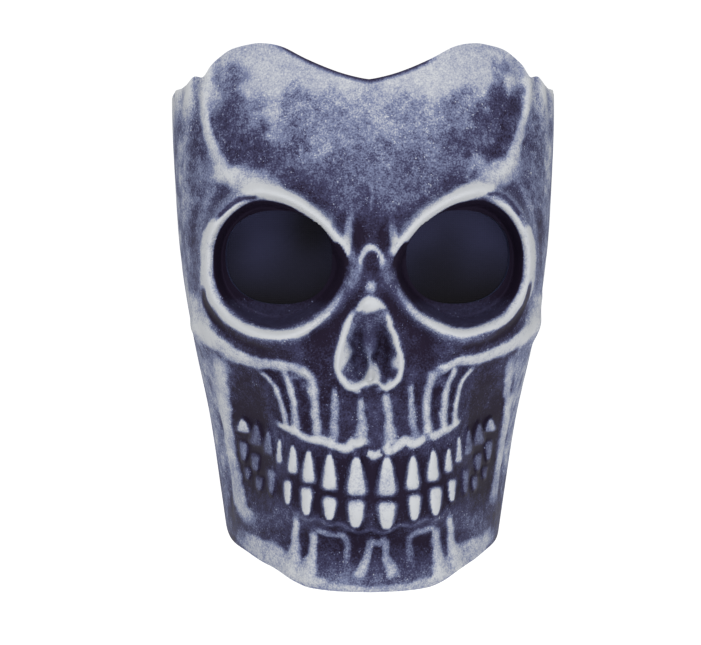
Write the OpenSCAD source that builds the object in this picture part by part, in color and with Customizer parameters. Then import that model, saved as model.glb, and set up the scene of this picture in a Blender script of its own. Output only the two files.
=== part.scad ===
// Skull face mask: an open-backed moulded latex shell with dark mesh behind the eye holes,
// foam pads inside and an elastic strap that swings on two studs.
// All sizes are in millimetres. The face looks along -Y and +Z is up. The origin is on the
// middle plane, at the height of the eyes, in the plane of the rear edge.
// Left and right are the wearer's own, so left lies on +X.

/* [Shell] */
// Width of the shell across the temples
shell_w = 195; // [182:1:236]
// Depth of the shell from its rear edge to the front teeth, before the relief
shell_d = 106; // [92:1:128]
// Height from the eye line up to the two humps of the top edge
crown_rise = 110; // [98:1:132]
// Height from the eye line down to the chin
chin_drop = 156; // [142:1:190]
// Thickness of the latex
wall = 1.8; // [1.4:0.1:2.6]
// How far the middle of the top edge dips below its two humps
top_dip = 17.5; // [8:0.5:26]
// How far the lower rear corners of the jaw lie above the chin
jaw_rise = 20; // [12:1:32]

/* [Eyes] */
// Distance from the middle plane to the centre of each eye hole
eye_x = 44; // [40:0.5:48]
// Half width of an eye socket
socket_w = 31; // [27:0.5:34]
// Half height of an eye socket
socket_h = 29.5; // [25:0.5:32]
// Half width of an eye hole
hole_w = 26; // [21:0.5:27]
// Half height of an eye hole
hole_h = 23; // [18:0.5:24.5]
// How far the floor of a socket lies in front of the rear edge, at the eye's centre
floor_y = 78; // [70:1:84]
// How far an eye mesh reaches past the edge of its hole
mesh_lap = 3; // [2:0.5:5]
// Thickness of an eye mesh
mesh_t = 0.5; // [0.4:0.1:0.8]
// Width of the latex bead that bonds a mesh to its socket
bead_w = 2; // [1:0.5:3]

/* [Strap] */
// Width of the elastic strap
strap_w = 15; // [10:1:20]
// Thickness of the elastic strap
strap_t = 1.2; // [0.8:0.1:1.6]
// How far the strap hangs below its studs
strap_drop = 100; // [80:1:125]
// Height of the studs above the eye line
stud_z = 40; // [32:1:46]
// Distance of the studs in front of the rear edge
stud_y = 16; // [14:1:22]
// Diameter of a stud's post
post_d = 5; // [4:0.1:6]
// Running clearance between a post and its eyelet, on the radius
post_gap = 0.05; // [0.02:0.01:0.1]
// Play of the eyelet along its post, on each face
side_play = 0.2; // [0.1:0.05:0.4]

/* [Pads] */
// Thickness of the foam pads
pad_t = 7; // [4:0.5:9]
// Height of the brow pad
brow_pad_h = 26; // [20:1:34]
// Height of a cheek pad
cheek_pad_h = 34; // [24:1:40]
// Clearance between a glued soft piece and the latex
soft_gap = 0.3; // [0.2:0.05:0.5]

/* [Hidden] */

// Paint and material colours
BONE = [0.60, 0.62, 0.67];
DARK_LATEX = [0.20, 0.19, 0.28];
GAUZE = [0.10, 0.09, 0.14];
STEEL = [0.70, 0.70, 0.72];
FOAM = [0.14, 0.14, 0.16];
ELASTIC = [0.06, 0.06, 0.07];

// Cross-sections by height: [place, half width, depth, squareness]. The place runs from -1 at
// the chin over 0 at the eyes to 1 at the humps; width and depth are shares of the full ones.
SECTIONS = [
    [-1, 0.70, 0.955, 2.0], [-0.77, 0.75, 1.0, 2.1], [-0.51, 0.81, 1.0, 2.3],
    [-0.256, 0.892, 0.985, 2.6], [0, 0.954, 0.97, 2.8], [0.364, 0.985, 0.93, 2.7],
    [0.725, 1.0, 0.83, 2.6], [1, 0.985, 0.71, 2.6], [1.2, 0.97, 0.6, 2.6]];
// Top edge by direction: [degrees from straight ahead, share of the way from the eyes to the humps,
// share of the dip that is taken off]
TOP_EDGE = [
    [0, 1, 1], [5, 1, 0.8], [13, 1, 0.43], [20, 1, 0.1], [27, 1, 0], [33, 0.99, 0],
    [39, 0.97, 0], [44, 0.935, 0], [48, 0.9, 0], [52, 0.85, 0], [58, 0.85, 0], [64, 0.81, 0],
    [76, 0.78, 0], [90, 0.73, 0]];
// Lower edge by direction: [degrees, share of the jaw rise]
LOWER_EDGE = [[0, 0], [25, 0.03], [32, 0.14], [41, 0.37], [49, 0.48], [59, 0.62], [76, 0.74], [90, 1]];

COLUMNS = 46;         // cells across the shell
ROWS = 50;            // cells up the shell
FRONT_CROWD = 13;     // degrees by which the columns crowd to the front
BORE_FN = 64;
OUTLINE_POINTS = 36;
FLOOR_SLOPE = 0.33;   // how far a socket's floor falls back towards the temple, per millimetre
EYE_RISE = 3;         // the socket's centre above the eye line
HOLE_RISE = 2.5;      // the eye hole's centre above the socket's centre
EYE_SQUARE = 2.3;     // squareness of the eye outline
FLOOR_SHARE = 0.91;   // edge of a socket's floor, as a share of the socket
RIM_SHARE = 1.09;     // edge of its rim
EDGE_PULL = 0.18;     // grid points this near to the middle of the wall are drawn to its edges
SIDE_FADE = [66, 84]; // degrees from straight ahead over which the relief fades out
EYELET_WALL = 1.2;    // radial thickness of an eyelet's barrel
FLANGE_W = 2;         // how far an eyelet's flange reaches past its barrel
FLANGE_T = 0.5;
STUD_BASE_R = 8;
STUD_BASE_T = 1;
CAP_T = 1.6;
CAP_LAP = 2.2;        // how far a cap reaches past the bore of its eyelet
PATCH_T = 2.4;        // thickness of an anchor patch at its middle
PATCH_Y = 13;         // half length of an anchor patch
PATCH_Z = 16;         // half height of an anchor patch
STRAP_STRAIGHT = 12;  // length of strap below each stud before it starts to curve

bore_r = post_d / 2 + post_gap;
barrel_r = bore_r + EYELET_WALL;
flange_r = barrel_r + FLANGE_W;
cap_r = bore_r + CAP_LAP;
hole_z = EYE_RISE + HOLE_RISE;

function clamp(v, lo = 0, hi = 1) = min(max(v, lo), hi);
function ease(v) = let (t = clamp(v)) t * t * (3 - 2 * t);
function bump(v, width) = exp(-pow(v / width, 2));
function plateau(v, width) = exp(-pow(v / width, 4));
function mix(a, b, t) = a * (1 - t) + b * t;

// A smooth curve through a table's rows, read at place p in column c
function span(table, p, k = 0) =
    k >= len(table) - 2 || p < table[k + 1][0] ? k : span(table, p, k + 1);
function slope(table, k, c) =
    let (lo = max(k - 1, 0), hi = min(k + 1, len(table) - 1))
    (table[hi][c] - table[lo][c]) / (table[hi][0] - table[lo][0]);
function curve(table, p, c) =
    let (k = span(table, p), h = table[k + 1][0] - table[k][0], t = clamp((p - table[k][0]) / h))
    (2 * pow(t, 3) - 3 * pow(t, 2) + 1) * table[k][c] + (3 * pow(t, 2) - 2 * pow(t, 3)) * table[k + 1][c]
    + h * ((pow(t, 3) - 2 * pow(t, 2) + t) * slope(table, k, c)
    + (pow(t, 3) - pow(t, 2)) * slope(table, k + 1, c));

function place(z) = z < 0 ? z / chin_drop : z / crown_rise;
function half_w(z) = shell_w / 2 * curve(SECTIONS, place(z), 1);
function depth(z) = shell_d * curve(SECTIONS, place(z), 2);
function squareness(z) = curve(SECTIONS, place(z), 3);
function top_z(a) = crown_rise * curve(TOP_EDGE, abs(a), 1) - top_dip * curve(TOP_EDGE, abs(a), 2);
function bottom_z(a) = -chin_drop + jaw_rise * curve(LOWER_EDGE, abs(a), 1);

// The plain egg-shaped surface under the face, at a degrees from straight ahead and height z
function base(a, z) =
    let (n = squareness(z), s = sin(a), c = max(cos(a), 0))
    [sign(a) * half_w(z) * pow(abs(s), 2 / n), -depth(z) * pow(c, 2 / n), z];
function base_x(y, z) = half_w(z) * pow(1 - pow(abs(y) / depth(z), squareness(z)), 1 / squareness(z));
function base_y(x, z) = -depth(z) * pow(1 - pow(abs(x) / half_w(z), squareness(z)), 1 / squareness(z));
function outward(p) =
    let (n = squareness(p.z),
        v = [sign(p.x) * pow(abs(p.x) / half_w(p.z), n - 1) / half_w(p.z),
            -pow(max(-p.y, 0) / depth(p.z), n - 1) / depth(p.z), 0])
    v / norm(v);

// Distance from a socket's centre as a share of the way to its rim
function socket_share(x, z) =
    pow(pow(abs(abs(x) - eye_x) / socket_w, EYE_SQUARE)
        + pow(abs(z - EYE_RISE) / socket_h, EYE_SQUARE), 1 / EYE_SQUARE);
function floor_at(x) = -floor_y + FLOOR_SLOPE * (abs(x) - eye_x);

// Height of the modelled skull features above the plain surface; q is the socket share
function relief(x, z, q) =
    let (ax = abs(x))
    5 * bump(q - 1.16, 0.14) * (1 + 0.5 * ease((z - 5) / 25))
    + 6 * bump(ax, 9) * plateau(z + 6, 22)
    - 11 * plateau(norm([ax / 10, (z + 39) / 15]), 1)
    + 6 * bump(z + 40 - 0.10 * ax, 8) * ease((ax - 24) / 14) * ease((92 - ax) / 14)
    - 8 * bump(ax - 60, 13) * plateau(z + 86, 32)
    + 8 * plateau(ax, 44) * plateau(z + 98, 27)
    - 3 * plateau(ax, 40) * bump(z + 131, 7)
    + 4 * plateau(ax, 34) * bump(z + 148, 9);

// Draws a point near a socket's wall sideways onto the edge of the floor or of the rim, so that
// the wall has clean edges
function pulled_share(q) =
    q > 1 - EDGE_PULL && q <= 1 ? FLOOR_SHARE : q > 1 && q < 1 + EDGE_PULL ? RIM_SHARE : q;
function pulled(p) =
    let (q = socket_share(p.x, p.z), k = pulled_share(q) / q, side = p.x < 0 ? -1 : 1)
    k == 1 || p.y > -shell_d / 4 ? p :
        let (x = side * (eye_x + (abs(p.x) - eye_x) * k), z = EYE_RISE + (p.z - EYE_RISE) * k)
        [x, base_y(x, z), z];

// The outer skin: plain surface, relief, then the sockets sunk to their sloping floors
function skin(a, z) =
    let (p = pulled(base(a, z)), share = socket_share(p.x, p.z),
        fade = ease((SIDE_FADE[1] - abs(a)) / (SIDE_FADE[1] - SIDE_FADE[0])),
        q = p + outward(p) * relief(p.x, p.z, share) * fade,
        sunk = ease((RIM_SHARE - share) / (RIM_SHARE - FLOOR_SHARE)))
    [q.x, mix(q.y, floor_at(q.x), sunk), q.z];

function column_angle(i) = let (a = -90 + 180 * i / COLUMNS) a - FRONT_CROWD * sin(2 * a);
function grid_point(i, j) =
    let (a = column_angle(i), z = mix(bottom_z(a), top_z(a), j / ROWS)) skin(a, z);
function grid_normal(g, i, j) =
    let (u = g[min(i + 1, COLUMNS)][j] - g[max(i - 1, 0)][j],
        v = g[i][min(j + 1, ROWS)] - g[i][max(j - 1, 0)], n = cross(u, v))
    n / norm(n);

// A closed skin between two grids of points, the first one outside; the cells of the two halves
// are cut along mirrored diagonals
function quad_faces(a, b, c, d, turned = false) =
    turned ? [[b, c, d], [b, d, a]] : [[a, b, c], [a, c, d]];
function slab_faces(nu, nv) =
    let (m = (nu + 1) * (nv + 1), at = function (i, j, k) k * m + i * (nv + 1) + j)
    concat(
        [for (i = [0:nu - 1], j = [0:nv - 1]) each
            quad_faces(at(i, j, 0), at(i, j + 1, 0), at(i + 1, j + 1, 0), at(i + 1, j, 0),
                2 * i >= nu)],
        [for (i = [0:nu - 1], j = [0:nv - 1]) each
            quad_faces(at(i, j, 1), at(i + 1, j, 1), at(i + 1, j + 1, 1), at(i, j + 1, 1),
                2 * i >= nu)],
        [for (i = [0:nu - 1]) each
            quad_faces(at(i, 0, 0), at(i + 1, 0, 0), at(i + 1, 0, 1), at(i, 0, 1))],
        [for (i = [0:nu - 1]) each
            quad_faces(at(i, nv, 0), at(i, nv, 1), at(i + 1, nv, 1), at(i + 1, nv, 0))],
        [for (j = [0:nv - 1]) each
            quad_faces(at(0, j, 0), at(0, j, 1), at(0, j + 1, 1), at(0, j + 1, 0))],
        [for (j = [0:nv - 1]) each
            quad_faces(at(nu, j, 0), at(nu, j + 1, 0), at(nu, j + 1, 1), at(nu, j, 1))]);
module slab(outer, inner) {
    nu = len(outer) - 1;
    nv = len(outer[0]) - 1;
    polyhedron([for (g = [outer, inner], column = g, p = column) p], slab_faces(nu, nv));
}

module on_side(s) mirror([s < 0 ? 1 : 0, 0, 0]) children();

// Puts a flat shape, drawn as seen from the front, on the floor plane of the wearer's left
// socket, pushed back by the given distance; its origin is the centre of the eye hole
module on_floor(back) {
    translate([eye_x, -floor_y, hole_z])
        rotate([0, 0, atan(FLOOR_SLOPE)])
            translate([0, back, 0])
                rotate([90, 0, 0])
                    children();
}

module eye_outline(grow) {
    polygon([for (k = [0:OUTLINE_POINTS - 1])
        let (t = 360 * k / OUTLINE_POINTS, e = 2 / EYE_SQUARE)
        [(hole_w + grow) * sign(cos(t)) * pow(abs(cos(t)), e),
            (hole_h + grow) * sign(sin(t)) * pow(abs(sin(t)), e)]]);
}

module face_shell() {
    outer = [for (i = [0:COLUMNS]) [for (j = [0:ROWS]) grid_point(i, j)]];
    inner = [for (i = [0:COLUMNS]) [for (j = [0:ROWS]) outer[i][j] - wall * grid_normal(outer, i, j)]];
    color(BONE)
        difference() {
            slab(outer, inner);
            for (s = [-1, 1])
                on_side(s)
                    on_floor(2 * wall)
                        linear_extrude(height = 6 * wall)
                            eye_outline(0);
        }
}

mesh_back = wall + soft_gap + mesh_t;
module eye_mesh(s) {
    color(GAUZE)
        on_side(s)
            on_floor(mesh_back)
                linear_extrude(height = mesh_t)
                    eye_outline(mesh_lap);
}

module mesh_bead(s) {
    color(DARK_LATEX)
        on_side(s)
            on_floor(mesh_back + soft_gap + 1)
                linear_extrude(height = 1)
                    difference() {
                        eye_outline(mesh_lap + bead_w / 2);
                        eye_outline(mesh_lap - bead_w / 2);
                    }
}

// Places along X, from the shell inwards: patch face, stud base, eyelet, cap
patch_x = base_x(stud_y, stud_z) - wall - PATCH_T;
base_face_x = patch_x - STUD_BASE_T;
eyelet_t = strap_t + 2 * FLANGE_T;
eyelet_x = base_face_x - side_play - eyelet_t;
cap_face_x = eyelet_x - side_play;
strap_x = eyelet_x + FLANGE_T;

// Stands a shape drawn along +Z on the stud's axis, with its foot at x and its head outwards
module on_stud(s, x) {
    on_side(s)
        translate([x, -stud_y, stud_z])
            rotate([0, 90, 0])
                children();
}

module anchor_patch(s) {
    steps = 8;
    at = function (i, j) let (u = 2 * i / steps - 1, v = 2 * j / steps - 1)
        [-stud_y + PATCH_Y * u * sqrt(1 - v * v / 2), stud_z + PATCH_Z * v * sqrt(1 - u * u / 2)];
    outer = [for (i = [0:steps]) [for (j = [0:steps])
        let (p = at(i, j)) [base_x(min(p.x, 0), p.y) - wall - soft_gap, p.x, p.y]]];
    inner = [for (i = [0:steps]) [for (j = [0:steps]) let (p = at(i, j)) [patch_x, p.x, p.y]]];
    color(DARK_LATEX)
        on_side(s)
            slab(outer, inner);
}

module strap_stud(s) {
    color(STEEL)
        union() {
            on_stud(s, base_face_x)
                cylinder(h = STUD_BASE_T, r = STUD_BASE_R, $fn = BORE_FN);
            on_stud(s, cap_face_x)
                cylinder(h = base_face_x - cap_face_x, d = post_d, $fn = BORE_FN);
        }
}

module stud_cap(s) {
    color(STEEL)
        on_stud(s, cap_face_x - CAP_T)
            rotate_extrude($fn = BORE_FN)
                polygon([[0, 0], [cap_r * 0.6, 0], [cap_r * 0.9, CAP_T * 0.3], [cap_r, CAP_T * 0.7],
                    [cap_r, CAP_T], [0, CAP_T]]);
}

module strap_eyelet(s) {
    color(STEEL)
        on_stud(s, eyelet_x)
            rotate_extrude($fn = BORE_FN)
                polygon([[bore_r, 0], [flange_r, 0], [flange_r, FLANGE_T], [barrel_r, FLANGE_T],
                    [barrel_r, FLANGE_T + strap_t], [flange_r, FLANGE_T + strap_t],
                    [flange_r, eyelet_t], [bore_r, eyelet_t]]);
}

// Outline of the hanging strap as seen from the front: two straight ends and a half ellipse
module strap_outline() {
    low = stud_z - STRAP_STRAIGHT;
    steps = 40;
    arc = function (t, grow)
        [(strap_x + grow) * cos(t), low - (strap_drop - STRAP_STRAIGHT - strap_t + grow) * sin(t)];
    top = stud_z + strap_w / 2;
    polygon(concat(
        [[strap_x + strap_t, top]], [for (k = [0:steps]) arc(180 * k / steps, strap_t)],
        [[-strap_x - strap_t, top], [-strap_x, top]],
        [for (k = [steps:-1:0]) arc(180 * k / steps, 0)], [[strap_x, top]]));
}

module strap_band() {
    reach = shell_w;
    color(ELASTIC)
        difference() {
            intersection() {
                translate([0, -stud_y + strap_w / 2, 0])
                    rotate([90, 0, 0])
                        linear_extrude(height = strap_w)
                            strap_outline();
                union() {
                    translate([-reach / 2, -stud_y, stud_z])
                        rotate([0, 90, 0])
                            cylinder(h = reach, d = strap_w, $fn = BORE_FN);
                    translate([-reach / 2, -stud_y - strap_w, stud_z - 2 * strap_drop])
                        cube([reach, 2 * strap_w, 2 * strap_drop]);
                }
            }
            translate([-reach / 2, -stud_y, stud_z])
                rotate([0, 90, 0])
                    cylinder(h = reach, r = barrel_r, $fn = BORE_FN);
        }
}

// A foam pad on the inside of the shell, from angle a0 to a1 and height z0 to z1
module foam_pad(a0, a1, z0, z1) {
    steps = 10;
    at = function (i, j, off) let (u = 2 * i / steps - 1, v = 2 * j / steps - 1,
            a = mix(a0, a1, (u * sqrt(1 - v * v / 4) + 1) / 2),
            z = mix(z0, z1, (v * sqrt(1 - u * u / 4) + 1) / 2),
            p = base(a, z))
        p - outward(p) * off;
    outer = [for (i = [0:steps]) [for (j = [0:steps]) at(i, j, wall + 2 * soft_gap)]];
    inner = [for (i = [0:steps]) [for (j = [0:steps]) at(i, j, wall + 2 * soft_gap + pad_t)]];
    slab(outer, inner);
}

module brow_pad() {
    color(FOAM)
        foam_pad(-40, 40, 66 - brow_pad_h / 2, 66 + brow_pad_h / 2);
}

module cheek_pad(s) {
    color(FOAM)
        on_side(s)
            foam_pad(58, 78, -22 - cheek_pad_h / 2, -22 + cheek_pad_h / 2);
}

face_shell();
eye_mesh(1);  // eye_mesh_left
eye_mesh(-1);  // eye_mesh_right
mesh_bead(1);  // mesh_bead_left
mesh_bead(-1);  // mesh_bead_right
strap_band();
strap_eyelet(1);  // strap_eyelet_left
strap_eyelet(-1);  // strap_eyelet_right
strap_stud(1);  // strap_stud_left
strap_stud(-1);  // strap_stud_right
stud_cap(1);  // stud_cap_left
stud_cap(-1);  // stud_cap_right
anchor_patch(1);  // anchor_patch_left
anchor_patch(-1);  // anchor_patch_right
brow_pad();
cheek_pad(1);  // cheek_pad_left
cheek_pad(-1);  // cheek_pad_right
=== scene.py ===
"""Looks of a skull face mask: painted latex shell, dark eye gauze, foam pads and a swinging strap.

Every length in the tables below is in millimetres. The face looks along -Y, +X is the wearer's
left and the eye line is at z = 0.
"""

import logging
import math
from dataclasses import dataclass, field
from enum import Enum
from typing import Any, Iterable, Sequence

import bmesh
import bpy
import numpy as np
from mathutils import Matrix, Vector


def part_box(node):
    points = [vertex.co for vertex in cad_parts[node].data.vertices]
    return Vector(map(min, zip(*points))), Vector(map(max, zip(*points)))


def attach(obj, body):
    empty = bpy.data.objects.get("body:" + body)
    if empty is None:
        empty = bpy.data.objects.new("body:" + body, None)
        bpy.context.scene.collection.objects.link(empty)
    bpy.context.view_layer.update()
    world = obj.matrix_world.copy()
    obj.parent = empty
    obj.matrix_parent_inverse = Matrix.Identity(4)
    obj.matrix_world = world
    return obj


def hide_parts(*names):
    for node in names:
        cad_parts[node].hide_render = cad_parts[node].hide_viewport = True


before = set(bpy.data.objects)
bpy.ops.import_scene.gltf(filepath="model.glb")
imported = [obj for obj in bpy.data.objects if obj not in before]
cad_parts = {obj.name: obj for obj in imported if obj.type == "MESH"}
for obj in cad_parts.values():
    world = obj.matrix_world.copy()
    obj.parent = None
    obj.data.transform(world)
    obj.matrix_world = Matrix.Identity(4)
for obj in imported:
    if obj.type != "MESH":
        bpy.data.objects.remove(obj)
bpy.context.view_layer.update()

MM = 0.001
LOG = logging.getLogger("mask")

Grid = np.ndarray
Material = bpy.types.Material
Piece = bpy.types.Object


class Side(Enum):
    """Which half of the face a feature lies on."""

    LEFT = 1
    RIGHT = -1
    BOTH = 0

    @property
    def word(self) -> str:
        """The wearer's side, as the frame names it."""
        return "left" if self is Side.LEFT else "right"


# --------------------------------------------------------------------------- shader expressions


class Shade:
    """A socket of a node tree that can stand in an arithmetic expression."""

    def __init__(self, board: "NodeBoard", socket: bpy.types.NodeSocket | None) -> None:
        """Wraps a socket.

        Args:
            board: The tree that new nodes are added to.
            socket: The output that carries the value; None after a node without outputs.
        """
        self.board = board
        self.socket = socket

    def _math(self, operation: str, *values: Any) -> "Shade":
        """Adds one Math node.

        Args:
            operation: The node's operation.
            values: Numbers or shades for its inputs.

        Returns:
            The result.
        """
        return self.board.add("ShaderNodeMath", {"operation": operation}, dict(enumerate(values)))

    def __add__(self, other: Any) -> "Shade":
        """self + other."""
        return self._math("ADD", self, other)

    def __radd__(self, other: Any) -> "Shade":
        """other + self."""
        return self._math("ADD", other, self)

    def __sub__(self, other: Any) -> "Shade":
        """self - other."""
        return self._math("SUBTRACT", self, other)

    def __rsub__(self, other: Any) -> "Shade":
        """other - self."""
        return self._math("SUBTRACT", other, self)

    def __mul__(self, other: Any) -> "Shade":
        """self * other."""
        return self._math("MULTIPLY", self, other)

    def __rmul__(self, other: Any) -> "Shade":
        """other * self."""
        return self._math("MULTIPLY", other, self)

    def __truediv__(self, other: Any) -> "Shade":
        """self / other."""
        return self._math("DIVIDE", self, other)

    def clamped(self) -> "Shade":
        """The value held between 0 and 1."""
        return self._math("MINIMUM", self._math("MAXIMUM", self, 0.0), 1.0)

    def step(self, low: float, high: float) -> "Shade":
        """A smooth step from 0 at low to 1 at high."""
        t = ((self - low) / (high - low)).clamped()
        return t * t * (3.0 - 2.0 * t)

    def wave(self, pitch: float) -> "Shade":
        """A sine of a distance in metres, with crests a pitch in millimetres apart."""
        return self._math("SINE", self * (2 * math.pi / (pitch * MM)))


class NodeBoard:
    """A node tree of any kind."""

    def __init__(self, tree: bpy.types.NodeTree) -> None:
        """Wraps a tree."""
        self.tree = tree

    def add(
        self, kind: str, settings: dict[str, Any] | None = None,
        inputs: dict[Any, Any] | None = None, output: Any = 0,
    ) -> Shade:
        """Adds any node: settings first, then the values or links of its sockets.

        Args:
            kind: The node's type.
            settings: Its properties; "stops" sets a colour ramp's places and colours.
            inputs: Numbers, colours, vectors or shades, by socket name or number.
            output: The output to return, by name or number.

        Returns:
            The chosen output.
        """
        node = self.tree.nodes.new(kind)
        for key, value in (settings or {}).items():
            if key == "stops":
                self._set_stops(node.color_ramp, value)
            else:
                setattr(node, key, value)
        for key, value in (inputs or {}).items():
            if isinstance(value, Shade):
                self.tree.links.new(value.socket, node.inputs[key])
            else:
                node.inputs[key].default_value = value
        return Shade(self, node.outputs[output] if node.outputs else None)

    @staticmethod
    def _set_stops(ramp: bpy.types.ColorRamp, stops: Sequence[tuple[float, tuple]]) -> None:
        """Sets a ramp's stops.

        Args:
            ramp: The ramp.
            stops: Places from 0 to 1 with their linear colours.
        """
        while len(ramp.elements) > 1:
            ramp.elements.remove(ramp.elements[-1])
        ramp.elements[0].position, ramp.elements[0].color = stops[0]
        for place, colour in stops[1:]:
            ramp.elements.new(place).color = colour


def paint_colour(red: float, green: float, blue: float) -> tuple[float, ...]:
    """A display colour of 0 to 255 as the linear colour that a socket takes.

    Args:
        red: Red.
        green: Green.
        blue: Blue.

    Returns:
        The linear colour with full alpha.
    """
    shares = (red / 255, green / 255, blue / 255)
    return (*(share / 12.92 if share <= 0.04045 else ((share + 0.055) / 1.055) ** 2.4
              for share in shares), 1.0)


class NodeSheet(NodeBoard):
    """The nodes of one material."""

    def __init__(self, name: str) -> None:
        """Starts a material, by its name, with an empty sheet."""
        self.material = bpy.data.materials.new(name)
        self.material.use_nodes = True
        super().__init__(self.material.node_tree)
        self.tree.nodes.clear()

    def where(self) -> Shade:
        """Object coordinates, in metres."""
        return self.add("ShaderNodeTexCoord", output="Object")

    def axes(self) -> list[Shade]:
        """The x, y and z of the object coordinates."""
        split = self.add("ShaderNodeSeparateXYZ", inputs={0: self.where()}).socket.node
        return [Shade(self, socket) for socket in split.outputs]

    def attribute(self, name: str) -> Shade:
        """A number kept on the mesh's points."""
        return self.add("ShaderNodeAttribute", {"attribute_name": name}, output="Fac")

    def noise(self, size: float, detail: float = 3.0, rough: float = 0.5,
              stretch: tuple[float, float, float] = (1, 1, 1)) -> Shade:
        """Noise of a given grain.

        Args:
            size: The grain's size in millimetres.
            detail: Octaves.
            rough: Roughness of the octaves.
            stretch: Scale along each axis.

        Returns:
            The noise, about 0.5 on average.
        """
        place = self.where()
        if stretch != (1, 1, 1):
            place = self.add("ShaderNodeMapping", inputs={"Vector": place, "Scale": stretch})
        return self.add("ShaderNodeTexNoise", inputs={
            "Vector": place, "Scale": 1 / (size * MM), "Detail": detail, "Roughness": rough})

    def between(self, factor: Shade, low: tuple, high: tuple) -> Shade:
        """A colour between two display colours.

        Args:
            factor: How much of the second.
            low: Display colour of 0 to 255.
            high: Display colour of 0 to 255.

        Returns:
            The mixed colour.
        """
        return self.add("ShaderNodeMix", {"data_type": "RGBA"},
                        {0: factor, 6: paint_colour(*low), 7: paint_colour(*high)}, output=2)

    def bump(self, height: Shade, distance: float) -> Shade:
        """A normal from a height of 0 to 1.

        Args:
            height: The height.
            distance: Millimetres that a height of 1 stands for.

        Returns:
            The normal.
        """
        return self.add("ShaderNodeBump", inputs={
            "Height": height, "Strength": 1.0, "Distance": distance * MM})

    def finish(self, **sockets: Any) -> Material:
        """Ends the sheet in a Principled BSDF.

        Args:
            sockets: Socket names, with underscores for spaces, and their values.

        Returns:
            The material.
        """
        inputs = {key.replace("_", " "): value for key, value in sockets.items()}
        shader = self.add("ShaderNodeBsdfPrincipled", {}, inputs)
        self.add("ShaderNodeOutputMaterial", {}, {"Surface": shader})
        return self.material


# --------------------------------------------------------------------------- finishes


@dataclass(frozen=True)
class PaintedLatex:
    """Dark violet latex under a dry-brushed blue-grey paint; "paint" says how much stays, and in
    the sockets, under the nose and beside and between the teeth it also carries painted shade.
    """

    stops: tuple = ((0.0, (27, 21, 34)), (0.35, (54, 54, 79)), (0.65, (103, 110, 136)),
                    (1.0, (170, 172, 175)))
    speck_size: float = 0.85
    scuff_size: float = 3.6
    cloud_size: float = 17.0

    def make(self) -> Material:
        """Builds the material."""
        sheet = NodeSheet("painted_latex")
        paint = sheet.attribute("paint")
        dry = sheet.attribute("dry") * (1.2 - 0.7 * paint)
        speck = sheet.noise(self.speck_size, 2.0, 0.6)
        scuff = sheet.noise(self.scuff_size, 3.0, 0.65)
        cloud = sheet.noise(self.cloud_size, 5.0, 0.6)
        fleck = sheet.noise(0.9, 1.0).step(0.66, 0.74) * sheet.noise(9.0, 2.0).step(0.45, 0.6)
        level = (paint + 0.42 * fleck + (speck - 0.5) * (0.4 + 0.9 * dry)
                 + (scuff - 0.5) * (0.25 + 0.65 * dry)
                 + (cloud - 0.5) * (0.1 + 1.05 * dry)).clamped()
        stops = [(place, paint_colour(*colour)) for place, colour in self.stops]
        colour = sheet.add("ShaderNodeValToRGB", {"stops": stops}, {"Fac": level})
        height = level * 0.4 + sheet.noise(0.7, 2.0) * 0.35 + scuff * 0.25
        return sheet.finish(
            Base_Color=colour, Roughness=0.5 + 0.3 * level, Normal=sheet.bump(height, 0.2),
            Specular_IOR_Level=0.06, Specular_Tint=(0.6, 0.55, 1.0, 1.0))


@dataclass(frozen=True)
class BareLatex:
    """Unpainted dark blue latex of the inside and the cut edges, with pour marks."""

    name: str = "bare_latex"
    low: tuple = (24, 26, 44)
    high: tuple = (42, 46, 72)

    def make(self) -> Material:
        """Builds the material."""
        sheet = NodeSheet(self.name)
        pour = sheet.noise(26.0, 3.0, 0.55, (1.0, 1.0, 0.45))
        pores = sheet.noise(1.3, 2.0, 0.5)
        colour = sheet.between((pour * 0.8 + pores * 0.2).step(0.35, 0.65), self.low, self.high)
        return sheet.finish(
            Base_Color=colour, Roughness=0.42 + 0.2 * pores,
            Normal=sheet.bump(pour * 0.75 + pores * 0.25, 0.35), Specular_IOR_Level=0.35)


@dataclass(frozen=True)
class EyeGauze:
    """Fine dark mesh cloth with painted light, lighter and bluer towards its top in soft patches,
    and near black painted shade towards its bottom.
    """

    # low is the painted shade at the bottom, high the painted light towards the top
    low: tuple = (10, 8, 11)
    high: tuple = (43, 44, 70)
    pitch: float = 0.9

    def make(self) -> Material:
        """Builds the material."""
        sheet = NodeSheet("eye_gauze")
        x, _, z = sheet.axes()
        weave = 0.5 + 0.25 * (x.wave(self.pitch) + z.wave(self.pitch))
        # painted light towards the top of the cloth, painted shade at its bottom
        painted_light = z.step(-0.022, 0.016) * sheet.noise(45.0, 1.0).step(0.1, 0.7)
        colour = sheet.between(painted_light * (0.75 + 0.25 * weave), self.low, self.high)
        return sheet.finish(Base_Color=colour, Roughness=0.82,
                            Normal=sheet.bump(weave, 0.12), Specular_IOR_Level=0.15)


@dataclass(frozen=True)
class WovenCloth:
    """Plain woven cloth or ribbed elastic."""

    name: str
    low: tuple
    high: tuple
    pitch: float
    depth: float
    rough: float = 0.85

    def make(self) -> Material:
        """Builds the material."""
        sheet = NodeSheet(self.name)
        x, y, z = sheet.axes()
        weave = 0.5 + 0.25 * ((x + y).wave(self.pitch) + (z + 0.12 * x).wave(self.pitch))
        fuzz = sheet.noise(2.4, 3.0, 0.6)
        colour = sheet.between((weave * 0.55 + fuzz * 0.45).step(0.25, 0.8), self.low, self.high)
        return sheet.finish(
            Base_Color=colour, Roughness=self.rough + 0.1 * (fuzz - 0.5),
            Normal=sheet.bump(weave * 0.7 + fuzz * 0.3, self.depth), Specular_IOR_Level=0.25)


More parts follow.
